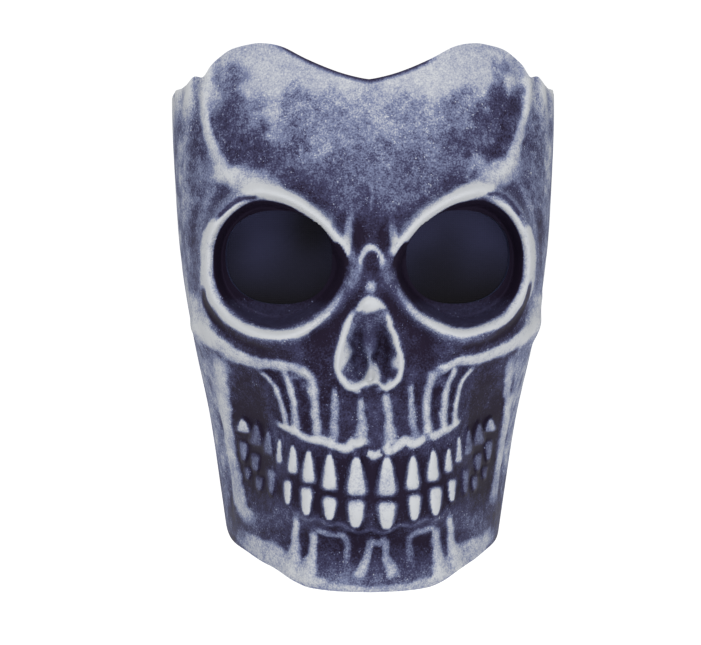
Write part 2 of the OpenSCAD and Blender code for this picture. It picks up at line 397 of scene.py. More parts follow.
@dataclass(frozen=True)
class BrushedSteel:
    """Nickelled steel with fine turning marks and faint tarnish."""

    low: tuple = (120, 119, 116)
    high: tuple = (176, 175, 171)

    def make(self) -> Material:
        """Builds the material."""
        sheet = NodeSheet("stud_steel")
        marks = sheet.noise(0.5, 2.0, 0.6, (1.0, 6.0, 1.0))
        stain = sheet.noise(4.0, 3.0)
        return sheet.finish(
            Base_Color=sheet.between(stain.step(0.3, 0.6), self.low, self.high), Metallic=1.0,
            Roughness=0.24 + 0.2 * marks + 0.15 * stain, Normal=sheet.bump(marks, 0.02))


@dataclass(frozen=True)
class PaleFloor:
    """Plain white studio floor."""

    low: tuple = (247, 247, 247)
    high: tuple = (249.3, 249.3, 249.3)

    def make(self) -> Material:
        """Builds the material."""
        sheet = NodeSheet("studio_floor")
        return sheet.finish(
            Base_Color=sheet.between(sheet.noise(60.0, 1.0), self.low, self.high), Roughness=0.9,
            Emission_Color=(1, 1, 1, 1), Emission_Strength=0.5)


# --------------------------------------------------------------------------- form of the face


def ease(value: Grid) -> Grid:
    """A smooth step over 0 to 1."""
    t = np.clip(value, 0, 1)
    return t * t * (3 - 2 * t)


def ramp(value: Grid, start: float, end: float) -> Grid:
    """A smooth step from 0 at start to 1 at end, which may lie on either side of it."""
    return ease((value - start) / (end - start))


def bump(value: Grid, width: float) -> Grid:
    """A round bump at 0."""
    return np.exp(-((value / width) ** 2))


def plateau(value: Grid, width: float) -> Grid:
    """A flat-topped bump at 0."""
    return np.exp(-((value / width) ** 4))


def blend(grid: Grid, value: Any, cover: Grid, where: Any = ...) -> None:
    """Moves a grid towards a value in place.

    Args:
        grid: The grid.
        value: The value, or one for each point.
        cover: How far to move, from 0 to 1.
        where: Which points of the grid; all of them when not given.
    """
    grid[where] += (value - grid[where]) * cover


def wander(x: Grid, z: Grid, *waves: tuple[float, float, int]) -> Grid:
    """Smooth irregular waves over the face.

    Args:
        x: Places across.
        z: Places up.
        waves: Height, rough length in millimetres and seed of each set of waves.

    Returns:
        Their sum.
    """
    count = 12
    total = np.zeros_like(x)
    for height, size, seed in waves:
        rng = np.random.default_rng(seed)
        part = np.zeros_like(x)
        for _ in range(count):
            turn, length, start = (rng.uniform(0, 2 * math.pi), rng.uniform(0.6, 1.6),
                                   rng.uniform(0, 7))
            pull = 2 * math.pi / (size * length)
            part += np.sin(pull * (x * math.cos(turn) + z * math.sin(turn)) + start)
        total += height * 0.6 * math.sqrt(2 / count) * part
    return total


def smooth_curve(table: Sequence[Sequence[float]], place: Grid, column: int) -> Grid:
    """Reads a smooth curve through a table's rows.

    Args:
        table: Rows, each beginning with its place.
        place: Where to read.
        column: The column to read.

    Returns:
        The values.
    """
    rows = np.asarray(table, float)
    keys, values = rows[:, 0], rows[:, column]
    low = np.maximum(np.arange(len(keys)) - 1, 0)
    high = np.minimum(np.arange(len(keys)) + 1, len(keys) - 1)
    slopes = (values[high] - values[low]) / (keys[high] - keys[low])
    k = np.clip(np.searchsorted(keys, place, side="right") - 1, 0, len(keys) - 2)
    step = keys[k + 1] - keys[k]
    t = np.clip((place - keys[k]) / step, 0, 1)
    return ((2 * t**3 - 3 * t**2 + 1) * values[k] + (3 * t**2 - 2 * t**3) * values[k + 1]
            + step * ((t**3 - 2 * t**2 + t) * slopes[k] + (t**3 - t**2) * slopes[k + 1]))


def box_blur(values: Grid, reach: int, rounds: int = 1) -> Grid:
    """Averages a grid over a square window.

    Args:
        values: The grid.
        reach: Cells on each side.
        rounds: How often.

    Returns:
        The averaged grid.
    """
    for _ in range(rounds):
        for axis in (0, 1):
            pad = [(reach + 1, reach) if a == axis else (0, 0) for a in (0, 1)]
            total = np.cumsum(np.pad(values, pad, mode="edge"), axis=axis)
            size = values.shape[axis]
            upper = np.take(total, range(2 * reach + 1, 2 * reach + 1 + size), axis=axis)
            lower = np.take(total, range(0, size), axis=axis)
            values = (upper - lower) / (2 * reach + 1)
    return values


def lowest_near(values: Grid, reach: int) -> Grid:
    """The lowest value in a square window.

    Args:
        values: The grid.
        reach: Cells on each side.

    Returns:
        The grid of lowest values.
    """
    for axis in (0, 1):
        pad = [(reach, reach) if a == axis else (0, 0) for a in (0, 1)]
        wide = np.pad(values, pad, mode="edge")
        size = values.shape[axis]
        values = np.min([np.take(wide, range(k, k + size), axis=axis)
                         for k in range(2 * reach + 1)], axis=0)
    return values


@dataclass(frozen=True)
class SkullForm:
    """The plain egg-shaped surface under the face and its outline."""

    shell_w: float = 195.0
    shell_d: float = 106.0
    crown_rise: float = 110.0
    chin_drop: float = 156.0
    wall: float = 1.8
    top_dip: float = 17.5
    jaw_rise: float = 20.0
    eye_x: float = 44.0
    hole_w: float = 26.0
    hole_h: float = 23.0
    hole_z: float = 5.5
    eye_square: float = 2.3
    floor_y: float = 78.0
    floor_slope: float = 0.33
    # place from -1 at the chin to 1 at the humps; shares of the width and the depth; squareness
    sections: tuple = (
        (-1, 0.70, 0.955, 2.0), (-0.77, 0.75, 1.0, 2.1), (-0.51, 0.81, 1.0, 2.3),
        (-0.256, 0.892, 0.985, 2.6), (0, 0.954, 0.97, 2.8), (0.364, 0.985, 0.93, 2.7),
        (0.725, 1.0, 0.83, 2.6), (1, 0.985, 0.71, 2.6), (1.2, 0.97, 0.6, 2.6))
    # degrees from straight ahead; share of the way up to the humps; share of the dip taken off
    top_edge: tuple = (
        (0, 1, 1), (5, 1, 0.8), (13, 1, 0.43), (20, 1, 0.1), (27, 1, 0), (33, 0.99, 0),
        (39, 0.97, 0), (44, 0.935, 0), (48, 0.9, 0), (52, 0.85, 0), (58, 0.85, 0),
        (64, 0.81, 0), (76, 0.78, 0), (90, 0.73, 0))
    # degrees from straight ahead; share of the jaw's rise
    lower_edge: tuple = ((0, 0), (25, 0.03), (32, 0.14), (41, 0.37), (49, 0.48), (59, 0.62),
                         (76, 0.74), (90, 1))

    def section(self, z: Grid) -> tuple[Grid, Grid, Grid]:
        """Half width, depth and squareness at a height.

        Args:
            z: Heights.

        Returns:
            The three values.
        """
        place = np.where(z < 0, z / self.chin_drop, z / self.crown_rise)
        return (self.shell_w / 2 * smooth_curve(self.sections, place, 1),
                self.shell_d * smooth_curve(self.sections, place, 2),
                smooth_curve(self.sections, place, 3))

    def top_z(self, turn: Grid) -> Grid:
        """Height of the top edge at a turn from straight ahead, in degrees."""
        return (self.crown_rise * smooth_curve(self.top_edge, np.abs(turn), 1)
                - self.top_dip * smooth_curve(self.top_edge, np.abs(turn), 2))

    def bottom_z(self, turn: Grid) -> Grid:
        """Height of the lower edge at a turn from straight ahead, in degrees."""
        return -self.chin_drop + self.jaw_rise * smooth_curve(self.lower_edge, np.abs(turn), 1)

    def base(self, turn: Grid, z: Grid) -> Grid:
        """Points of the plain surface.

        Args:
            turn: Degrees from straight ahead, towards +X.
            z: Heights.

        Returns:
            Points, with x, y and z last.
        """
        half, depth, n = self.section(z)
        a = np.radians(turn)
        x = np.sign(turn) * half * np.abs(np.sin(a)) ** (2 / n)
        y = -depth * np.maximum(np.cos(a), 0) ** (2 / n)
        return np.stack([x, y, z + 0 * x], axis=-1)

    def outward(self, points: Grid) -> Grid:
        """Level directions straight out of the plain surface.

        Args:
            points: Points on it.

        Returns:
            Unit vectors.
        """
        half, depth, n = self.section(points[..., 2])
        x = np.sign(points[..., 0]) * (np.abs(points[..., 0]) / half) ** (n - 1) / half
        y = -(np.maximum(-points[..., 1], 0) / depth) ** (n - 1) / depth
        size = np.hypot(x, y)
        return np.stack([x / size, y / size, 0 * x], axis=-1)

    def lifted(self, points: Grid, turn: Grid) -> Grid:
        """Directions in which the relief rises: forwards on the face, outwards on the sides.

        Args:
            points: Points on the plain surface.
            turn: Their degrees from straight ahead.

        Returns:
            Unit vectors.
        """
        out = self.outward(points)
        out[..., 0] *= 0.03 + 0.97 * ramp(np.abs(turn), 64, 78)
        return out / np.linalg.norm(out, axis=-1, keepdims=True)

    def floor_at(self, x: Grid) -> Grid:
        """y of the sloping floor of a socket."""
        return -self.floor_y + self.floor_slope * (np.abs(x) - self.eye_x)

    def side_x(self, y: Grid, z: Grid) -> Grid:
        """Half width of the plain surface at a depth and height."""
        half, depth, n = self.section(z)
        return half * (1 - (np.abs(y) / depth) ** n) ** (1 / n)


@dataclass(frozen=True)
class Stroke:
    """A ridge or groove drawn on the face along a path seen from the front.

    Attributes:
        path: Points (x, z).
        widths: Full width at the start, the middle and the end.
        height: Rise, or depth when negative.
        paint: How much paint it carries, from 0 to 1.
        dry: How patchy that paint is.
        ends: Share of the length over which each end fades.
    """

    path: Sequence[tuple[float, float]]
    widths: tuple[float, float, float]
    height: float
    paint: float
    dry: float = 0.25
    ends: tuple[float, float] = (0.08, 0.08)

    def trace(self) -> tuple[Grid, Grid]:
        """Close points along the path.

        Returns:
            The points and their shares of the length.
        """
        p = np.asarray(self.path, float)
        p = np.vstack([2 * p[0] - p[1], p, 2 * p[-1] - p[-2]])
        parts = []
        for k in range(1, len(p) - 2):
            count = max(2, int(np.hypot(*(p[k + 1] - p[k])) / 0.5))
            t = np.linspace(0, 1, count, endpoint=False)[:, None]
            a, b, c, d = p[k - 1], p[k], p[k + 1], p[k + 2]
            parts.append(0.5 * (2 * b + (c - a) * t + (2 * a - 5 * b + 4 * c - d) * t**2
                                + (3 * b - a - 3 * c + d) * t**3))
        line = np.vstack(parts + [p[-2][None]])
        run = np.concatenate([[0], np.cumsum(np.hypot(*np.diff(line, axis=0).T))])
        return line, run / run[-1]

    def cover(self, x: Grid, z: Grid) -> tuple[Grid, Grid, Grid]:
        """How far into the stroke points lie.

        Args:
            x: Places across.
            z: Places up.

        Returns:
            Which points are near, their distance from the middle as a share of the half width,
            and how strong the stroke is along its length.
        """
        line, share = self.trace()
        reach = max(self.widths)
        near = ((x > line[:, 0].min() - reach) & (x < line[:, 0].max() + reach)
                & (z > line[:, 1].min() - reach) & (z < line[:, 1].max() + reach))
        px, pz = x[near], z[near]
        best = np.full(px.shape, np.inf)
        place = np.zeros(px.shape)
        for (lx, lz), s in zip(line, share):
            gap = np.hypot(px - lx, pz - lz)
            closer = gap < best
            best[closer] = gap[closer]
            place[closer] = s
        half = np.interp(place, (0, 0.5, 1), self.widths) / 2
        half = half * (1 + wander(px, pz, (0.1, 9, 5)))
        start, end = self.ends
        strength = np.ones_like(place)
        if start:
            strength *= ease(0.25 + 0.75 * place / start)
        if end:
            strength *= ease(0.25 + 0.75 * (1 - place) / end)
        return near, best / half, strength


@dataclass(frozen=True)
class Patch:
    """A soft-edged oval of thicker or thinner paint, and of rise.

    Attributes:
        side: Which half it lies on.
        x: Centre, measured outwards from the middle.
        z: Centre up.
        rx: Half width.
        rz: Half height.
        paint: The paint in it.
        strength: How much of it replaces what lies under it.
        dry: How patchy the paint is.
        rise: Rise in the middle.
    """

    side: Side
    x: float
    z: float
    rx: float
    rz: float
    paint: float
    strength: float
    dry: float
    rise: float = 0.0

    def cover(self, x: Grid, z: Grid, cloud_x: Grid, cloud_z: Grid) -> Grid:
        """How far the oval covers points; a large one has the clouds' ragged edge.

        Args:
            x: Places across.
            z: Places up.
            cloud_x: Places across, moved about by the clouds.
            cloud_z: Places up, moved about by the clouds.

        Returns:
            Shares from 0 to 1.
        """
        ragged = min(1.0, max(self.rx, self.rz) / 8)
        px, pz = x + ragged * (cloud_x - x), z + ragged * (cloud_z - z)
        px = np.abs(px) if self.side is Side.BOTH else self.side.value * px
        return plateau(np.hypot((px - self.x) / self.rx, (pz - self.z) / self.rz), 1)


@dataclass(frozen=True)
class Tooth:
    """One tooth of the moulded rows.

    Attributes:
        x: Its middle line.
        top: Height of its upper end.
        bottom: Height of its lower end.
        width: Its width at the biting end.
        upper: Whether its root points up.
        paint: Paint on its face.
    """

    x: float
    top: float
    bottom: float
    width: float
    upper: bool = True
    paint: float = 0.82

    def cover(self, x: Grid, z: Grid) -> tuple[Grid, ...]:
        """How the tooth lies over points.

        Args:
            x: Places across.
            z: Places up.

        Returns:
            Its rise, the thinner paint of its flanks with painted shade that darkens them towards
            the root, how far the flanks cover the points and how far the painted face does.
        """
        up, taper = (1, 0.34) if self.upper else (-1, 0.22)
        v = (z - (self.top + self.bottom) / 2) / ((self.top - self.bottom) / 2)
        root = up * v
        u = (x - self.x) / (self.width / 2 * (0.78 - taper * np.clip(root, -1.2, 1.15)))
        body = (np.abs(u / 1.5) ** 3 + np.abs((v - 0.12 * up) / 1.26) ** 4) ** 0.3
        face = (np.abs(u) ** 3 + np.abs(v) ** 5) ** 0.25
        rise = min(3.4, 0.55 * self.width) * np.clip(1 - body**3, 0, 1)
        # thinner paint on the flanks, with painted shade darkening them towards the root
        flank_paint_and_shade = (0.44 - 0.36 * ramp(root, 0.35, 0.9)) * self.paint
        return rise, flank_paint_and_shade, ramp(body, 1.08, 0.88), ramp(face, 1.08, 0.86)


# Height, paint, patchiness and faded ends of the strokes that several features share
RIM = (1.4, 0.85, 0.45)
STRAND = (2.4, 0.72, 0.55)
RIM_TO_NOSE = (1.4, 0.85, 0.45, (0.08, 0.32))
BROW = (2.6, 0.84, 0.5, (0.15, 0.05))
BROW_FOOT = (1.6, 0.74, 0.4, (0, 0.5))
NOTCH = (-0.8, 0.05)
FOLD = (-1.0, 0.12)
TEMPLE = (1.4, 0.78, 0.35)
CHEEKBONE = (1.8, 0.84, 0.5)
ROOT = (1.8, 0.78, 0.35, (0.15, 0))
SHORT_ROOT = (1.5, 0.64, 0.5, (0.1, 0.1))
CORNER = (0.3, 0.8, 0.6, (0.3, 0.3))

STROKES: tuple[Stroke, ...] = tuple(Stroke(path, widths, *mark) for mark, widths, *path in (
    # rims of the eye sockets, wearer's right then left
    (RIM_TO_NOSE, (3, 5.8, 2.8), (-56, 34), (-64, 31), (-71, 25), (-76, 16), (-78, 3), (-77, -8),
     (-72, -20), (-62, -27), (-48, -30), (-36, -29), (-29, -26), (-20, -18), (-15, -10), (-13, -3)),
    (RIM, (4.5, 7.6, 4.5), (-74, 25), (-79, 14), (-80.5, 2), (-79.5, -9), (-75, -19)),
    (RIM_TO_NOSE, (3, 5.6, 2.6), (57, 35), (66, 30), (73, 21), (78, 8), (78, -4), (75, -13),
     (67, -23), (56, -27), (44, -29), (32, -26), (22, -20), (15, -11), (12, -2)),
    (RIM, (4.5, 7.5, 5), (76, 22), (80, 10), (80.5, -2), (78, -13), (73, -20)),
    # brows and the marks beside the root of the nose
    (BROW, (14, 10, 5.5), (-77, 48), (-66, 45), (-55, 42), (-45, 37.5), (-36, 32.5), (-27, 26),
     (-19, 18), (-13, 11)),
    (BROW, (14, 8.4, 5.5), (76, 50), (65, 47), (55, 42.5), (45, 37), (35, 31.5), (26, 25), (19, 18),
     (12, 11)),
    (BROW_FOOT, (5.5, 4.4, 3), (-13, 10), (-11, 17), (-10, 24), (-9, 30)),
    (BROW_FOOT, (5.5, 4.2, 3), (12, 11), (11, 18), (10, 26)),
    (NOTCH, (1.4, 1.8, 1.4), (-5, 22), (-4, 14)),
    (NOTCH, (1.4, 1.8, 1.4), (5, 22), (5, 14)),
    # dark folds outside the upper rims
    (FOLD, (2, 2.6, 1.6), (-74, 25), (-68, 31), (-62, 35), (-54, 36)),
    (FOLD, (1.6, 2.8, 2.2), (56, 37), (62, 37), (68, 33), (74, 26)),
    # temple lines
    (TEMPLE, (3.6, 4.4, 9), (-82, 92), (-81, 82), (-79.5, 70), (-75, 57), (-70, 47)),
    (TEMPLE, (3.6, 4.4, 9), (81, 92), (79, 80), (75, 67), (72, 57), (69, 50)),
    # edges that fall from the temples to the cheekbones
    ((0.7, 0.5, 0.6), (4, 3, 5), (-75, 42), (-80, 30), (-83, 15), (-84, 0), (-86, -14)),
    ((0.7, 0.55, 0.6), (4, 3, 5), (75, 42), (80, 29), (84, 13), (85, -2), (87, -14)),
    # cheekbones
    (CHEEKBONE, (12, 7.6, 3.6), (-87, -12), (-85, -22), (-80, -32), (-73, -38), (-65, -42),
     (-54, -45), (-42, -45.5), (-33, -48), (-27, -51)),
    (CHEEKBONE, (12, 7.4, 3.6), (88, -12), (86, -22), (81, -31), (74, -36), (64, -40), (52, -43),
     (42, -44), (32, -49)),
    ((-1.0, 0.08, 0.3), (2, 5, 4), (-81, -9), (-79, -19), (-72, -28), (-60, -35), (-48, -38)),
    ((-1.0, 0.06, 0.3), (2, 5, 4), (80, -6), (77, -17), (70, -27), (57, -34), (45, -37)),
    # strands of the upper lip, outermost first
    (STRAND, (2, 2.8, 3.4), (-54, -49), (-47, -55), (-43, -65), (-40, -77)),
    (STRAND, (2.6, 3.8, 4.4), (-43, -46), (-39, -56), (-37, -66), (-36, -78)),
    (STRAND, (6, 5, 5), (-34, -47), (-29, -52), (-27, -64), (-26, -79)),
    ((2.0, 0.6, 0.6), (3, 4.4, 5), (-17.5, -56), (-17.5, -67), (-18, -82)),
    ((2.0, 0.66, 0.5), (3, 4.6, 8), (-5, -60), (-4.5, -72), (-5, -84)),
    ((2.0, 0.68, 0.45), (3.4, 4.8, 7), (7.5, -58), (8.5, -70), (9.5, -83)),
    ((1.5, 0.58, 0.6), (2.4, 3.8, 5), (19.5, -54), (20, -66), (21.5, -81)),
    (STRAND, (5, 4.4, 5), (31, -48), (28, -57), (27, -67), (28, -79)),
    (STRAND, (2.8, 3.8, 4.4), (42, -46), (38, -55), (36, -66), (36, -78)),
    (STRAND, (2, 2.8, 3.4), (51, -47), (45, -54), (42, -64), (41, -76)),
    # gum line
    ((1.8, 0.84, 0.3), (3, 4.6, 5), (-46, -74), (-38, -77), (-31, -80), (-23, -81), (-17, -83.5),
     (-12, -84.5), (-8, -82), (-3, -82)),
    ((1.6, 0.84, 0.15), (3.6, 4.4, 3.6), (-2, -86.5), (1.5, -87.5), (5, -86)),
    ((1.8, 0.84, 0.25), (5, 5, 4), (6, -82), (9, -85), (12, -84), (16, -81), (21, -82.5),
     (27, -79.5)),
    ((1.6, 0.78, 0.4), (4, 4, 2.6), (28, -80), (33, -78.5), (38, -76.5), (44, -73)),
    # edge of the lip under the lower teeth
    ((1.3, 0.33, 0.1), (2, 2.6, 2), (-37, -116), (-31, -121), (-26, -119.5), (-20, -122.5),
     (-14, -122), (-7, -126.5), (0, -124.5), (7, -127), (14, -122.5), (21, -123.5), (26, -120.5),
     (32, -121.5), (38, -116)),
    # nose
    ((1.2, 0.85, 0.15, (0.3, 0.3)), (2.4, 3, 2.4), (-5, 1), (-5, 6), (-2, 11.5), (2, 11.5), (5, 7),
     (5, 1)),
    ((0.8, 0.72, 0.3, (0.4, 0.4)), (4, 5, 4), (0, -3), (0, -7), (0, -10.5)),
    ((1.4, 0.88, 0.2), (2.4, 4.6, 2.4), (-7.5, -19), (-4, -15), (0, -13), (4, -14.5), (7, -18)),
    ((1.8, 0.88, 0.15), (3, 3.8, 2.6), (-8, -18), (-11, -24), (-13, -31), (-15, -38), (-16, -46),
     (-14, -52), (-9, -56), (-4, -54), (0, -50)),
    ((1.8, 0.86, 0.2), (2.8, 3.2, 2.6), (7, -18), (9, -24), (11, -30), (14, -38), (15, -45),
     (13, -52), (8, -56), (4, -54), (0, -50)),
    ((6, 0.85, 0.15, (0.9, 0.05)), (1.6, 3.6, 5.5), (0, -40), (0, -46), (0, -52)),
    # jaw lines
    ((1.5, 0.8, 0.4, (0.1, 0.1)), (6.5, 6.5, 8), (-74, -42), (-72, -58), (-71, -75), (-69, -92),
     (-66, -108), (-63, -120), (-57, -129)),
    ((1.5, 0.74, 0.4, (0.1, 0.1)), (5, 4.4, 7), (71, -42), (70, -60), (71, -76), (69, -92),
     (67, -108), (63, -122)),
    # roots below the lower teeth
    (ROOT, (3, 4.4, 10), (-36, -119), (-36, -130), (-37, -141), (-39, -148)),
    (ROOT, (4, 4.8, 11), (-27.5, -126), (-28, -137), (-31, -149)),
    ((1.4, 0.56, 0.55, (0.1, 0.3)), (3, 3.8, 4.4), (-27, -126), (-19, -128), (-13, -128.5),
     (-11, -134), (-12, -144)),
    (SHORT_ROOT, (4, 4.4, 7), (0, -130), (-2, -139), (-6, -149)),
    (SHORT_ROOT, (4, 4.2, 7), (-1, -130.5), (4, -132), (7, -131), (8, -140), (12, -149)),
    ((1.0, 0.5, 0.6, (0.1, 0.4)), (3.4, 3.6, 4), (19, -129), (20, -142)),
    ((1.4, 0.6, 0.5), (3, 3.6, 3.4), (19, -130), (25, -126.5), (32, -125.5)),
    (ROOT, (4, 4.8, 11), (32, -125), (33, -136), (36, -149)),
    (ROOT, (3, 4.4, 10), (39, -119), (40, -130), (42, -141), (45, -148)),
    # band along the lower edge
    ((0.6, 0.84, 0.6, (0.1, 0.1)), (9, 9, 9), (-66, -134), (-55, -141), (-44, -147), (-34, -152),
     (-22, -155), (-10, -156.5), (2, -157), (14, -156.5), (25, -155), (36, -152), (47, -146),
     (58, -140), (67, -133)),
    (CORNER, (5, 13, 8), (-62, -135), (-46, -142), (-32, -147)),
    (CORNER, (8, 13, 5), (34, -147), (47, -142), (62, -135)),
    # fine pale scratches between the brows
    ((0.5, 0.5, 0.6, (0.4, 0.4)), (1.6, 2, 1.6), (0, 54), (0, 44), (1, 36), (0, 26)),
    ((0.4, 0.55, 0.6, (0.4, 0.4)), (1.6, 2, 1.2), (-12, 45), (-12, 36)),
    ((0.4, 0.5, 0.7, (0.4, 0.4)), (2, 3, 1.6), (20, 60), (22, 48), (21, 38)),
))

BOTH, LEFT, RIGHT = Side.BOTH, Side.LEFT, Side.RIGHT

PATCHES: tuple[Patch, ...] = tuple(Patch(*row) for row in (
    # broad washes, from the crown down
    (BOTH, 0, 95, 130, 24, 0.9, 0.95, 0.3),
    (BOTH, 0, 75, 74, 12, 0.66, 0.85, 0.8),
    (BOTH, 0, 62, 74, 10, 0.6, 0.85, 0.75),
    (BOTH, 0, 42, 58, 17, 0.48, 0.95, 0.6),
    (BOTH, 0, 12, 13, 26, 0.12, 0.95, 0.35),
    (BOTH, 16, -16, 9, 16, 0.05, 0.9, 0.2),
    (BOTH, 87, 30, 8, 80, 0.5, 0.9, 0.8),
    (BOTH, 97, 20, 6, 90, 1.0, 0.9, 0.6),
    (BOTH, 84, 88, 14, 8, 0.95, 0.8, 0.6),
    (BOTH, 84, -70, 12, 74, 0.86, 0.85, 0.6),
    (BOTH, 82, 15, 5, 34, 0.45, 0.8, 0.5),
    (BOTH, 50, -36, 34, 8, 0.06, 0.9, 0.4),
    (BOTH, 66, -33, 14, 6, 0.12, 0.8, 0.5),
    (BOTH, 21, -38, 10, 16, 0.08, 0.9, 0.3),
    (BOTH, 38, -62, 28, 20, 0.18, 1.0, 0.45, -1.2),
    (BOTH, 0, -68, 28, 15, 0.28, 1.0, 0.4, -0.8),
    (BOTH, 61, -84, 12, 42, 0.02, 1.0, 0.6, -1.2),
    # bare latex between the teeth, kept dark also as painted shade of their relief
    (BOTH, 0, -104, 54, 22, 0.02, 0.95, 0.1, -1.4),
    (BOTH, 0, -134, 52, 13, 0.14, 0.9, 0.4, -0.8),
    # forehead: thin places
    (RIGHT, 67, 76, 9, 21, 0.26, 0.9, 0.6),
    (RIGHT, 68, 94, 5, 8, 0.5, 0.7, 0.7),
    (RIGHT, 58, 60, 14, 8, 0.28, 0.8, 0.6),
    (LEFT, 66, 76, 10, 18, 0.2, 0.9, 0.6),
    (LEFT, 64, 95, 5, 7, 0.5, 0.7, 0.7),
    (LEFT, 52, 60, 14, 8, 0.28, 0.8, 0.6),
    (RIGHT, 36, 79, 7, 10, 0.34, 0.5, 0.9),
    (LEFT, 47, 80, 8, 8, 0.5, 0.5, 0.9),
    (RIGHT, 37, 58, 8, 6, 0.34, 0.6, 0.9),
    (LEFT, 5, 56, 8, 7, 0.4, 0.6, 0.9),
    # forehead: thick places
    (RIGHT, 50, 76, 6, 8, 0.84, 0.7, 0.6),
    (RIGHT, 16, 72, 13, 8, 0.72, 0.6, 0.8),
    (LEFT, 18, 70, 16, 9, 0.75, 0.65, 0.8),
    (RIGHT, 24, 62, 9, 5, 0.74, 0.6, 0.9),
    (RIGHT, 60, 46, 14, 5, 0.85, 0.9, 0.4, 0.6),
    (LEFT, 60, 49, 14, 6, 0.88, 0.9, 0.4, 0.6),
    (RIGHT, 28, 38, 8, 4, 0.4, 0.5, 0.7),
    # lip, nose and the inner ends of the cheekbones; the wide dark band first is a painted shadow
    # under the nose
    (BOTH, 0, -58, 42, 6, 0.06, 0.8, 0.3),
    (BOTH, 1.5, -16, 5.4, 3.4, 0.9, 1.0, 0.25, 1.4),
    (RIGHT, 13.5, -42, 2.8, 6, 0.85, 0.9, 0.3, 0.6),
    (LEFT, 14, -44, 2.6, 5, 0.82, 0.9, 0.3, 0.6),
    (BOTH, 9, -55, 4.4, 2.6, 0.85, 0.9, 0.3, 0.6),
    (BOTH, 0, -35, 5, 8, 0.22, 0.9, 0.1),
    (BOTH, 0, -48.5, 3.2, 4.6, 0.9, 1.0, 0.15, 3.0),
    (RIGHT, 35, -49.5, 8, 3.6, 0.72, 0.8, 0.6),
    (LEFT, 34, -51, 6, 5, 0.68, 0.75, 0.6),
    # sides: thin places behind the temples and at the jaw
    (BOTH, 88, 64, 6, 22, 0.3, 0.9, 0.9),
    (BOTH, 86, 14, 5, 18, 0.36, 0.8, 0.8),
    (BOTH, 82, -40, 5, 12, 0.6, 0.6, 0.9),
    (BOTH, 80, -112, 8, 14, 0.5, 0.7, 0.9),
    (LEFT, 73, -120, 6, 10, 0.16, 0.9, 0.6),
    (RIGHT, 75, -134, 6, 6, 0.36, 0.8, 0.6),
    (BOTH, 59, -62, 5, 6, 0.16, 0.7, 0.3),
))

TEETH: tuple[Tooth, ...] = tuple(Tooth(*row) for row in (
    (-44, -82, -94, 3), (-37.5, -84, -98, 4.6), (-30, -86, -102, 6.2), (-20, -87, -105, 7),
    (-7.3, -88, -107.5, 9), (7.5, -88, -107.5, 8.8), (20, -88, -105, 6.6), (30, -86, -101.5, 6),
    (38, -86, -98, 4.2), (43.5, -81, -94, 3.2), (-40, -102, -114, 4, False),
    (-31, -104, -118, 6.2, False), (-20, -108, -119.5, 7, False), (-7.4, -109, -123.5, 8.7, False),
    (7.5, -110, -124.5, 8.8, False), (21, -107, -120, 6.6, False),
    (31.5, -104.5, -118.5, 6.6, False), (40, -102, -113, 4.4, False),
    # molars in the hollows of the cheeks
    (-62, -75.5, -82.5, 6.4, True, 0.66), (-55.5, -77, -88, 6, True, 0.34),
    (-49.5, -79, -91, 4.6, True, 0.36), (-62, -87, -97, 4.4, False, 0.46),
    (-56, -92, -101, 4.4, False, 0.38), (-60, -100, -106, 3.4, False, 0.34),
    (-54, -103, -110, 4, False, 0.38), (-48, -98, -110, 4.4, False, 0.34),
    (61.5, -75.5, -82.5, 6, True, 0.6), (55, -77, -88, 6, True, 0.34),
    (49, -79, -91, 4.6, True, 0.36), (61, -87, -97, 4.4, False, 0.42),
    (55, -92, -101, 4.4, False, 0.36), (59, -100, -106, 3.4, False, 0.32),
    (53, -103, -110, 4, False, 0.36), (47.5, -98, -110, 4.4, False, 0.34),
))


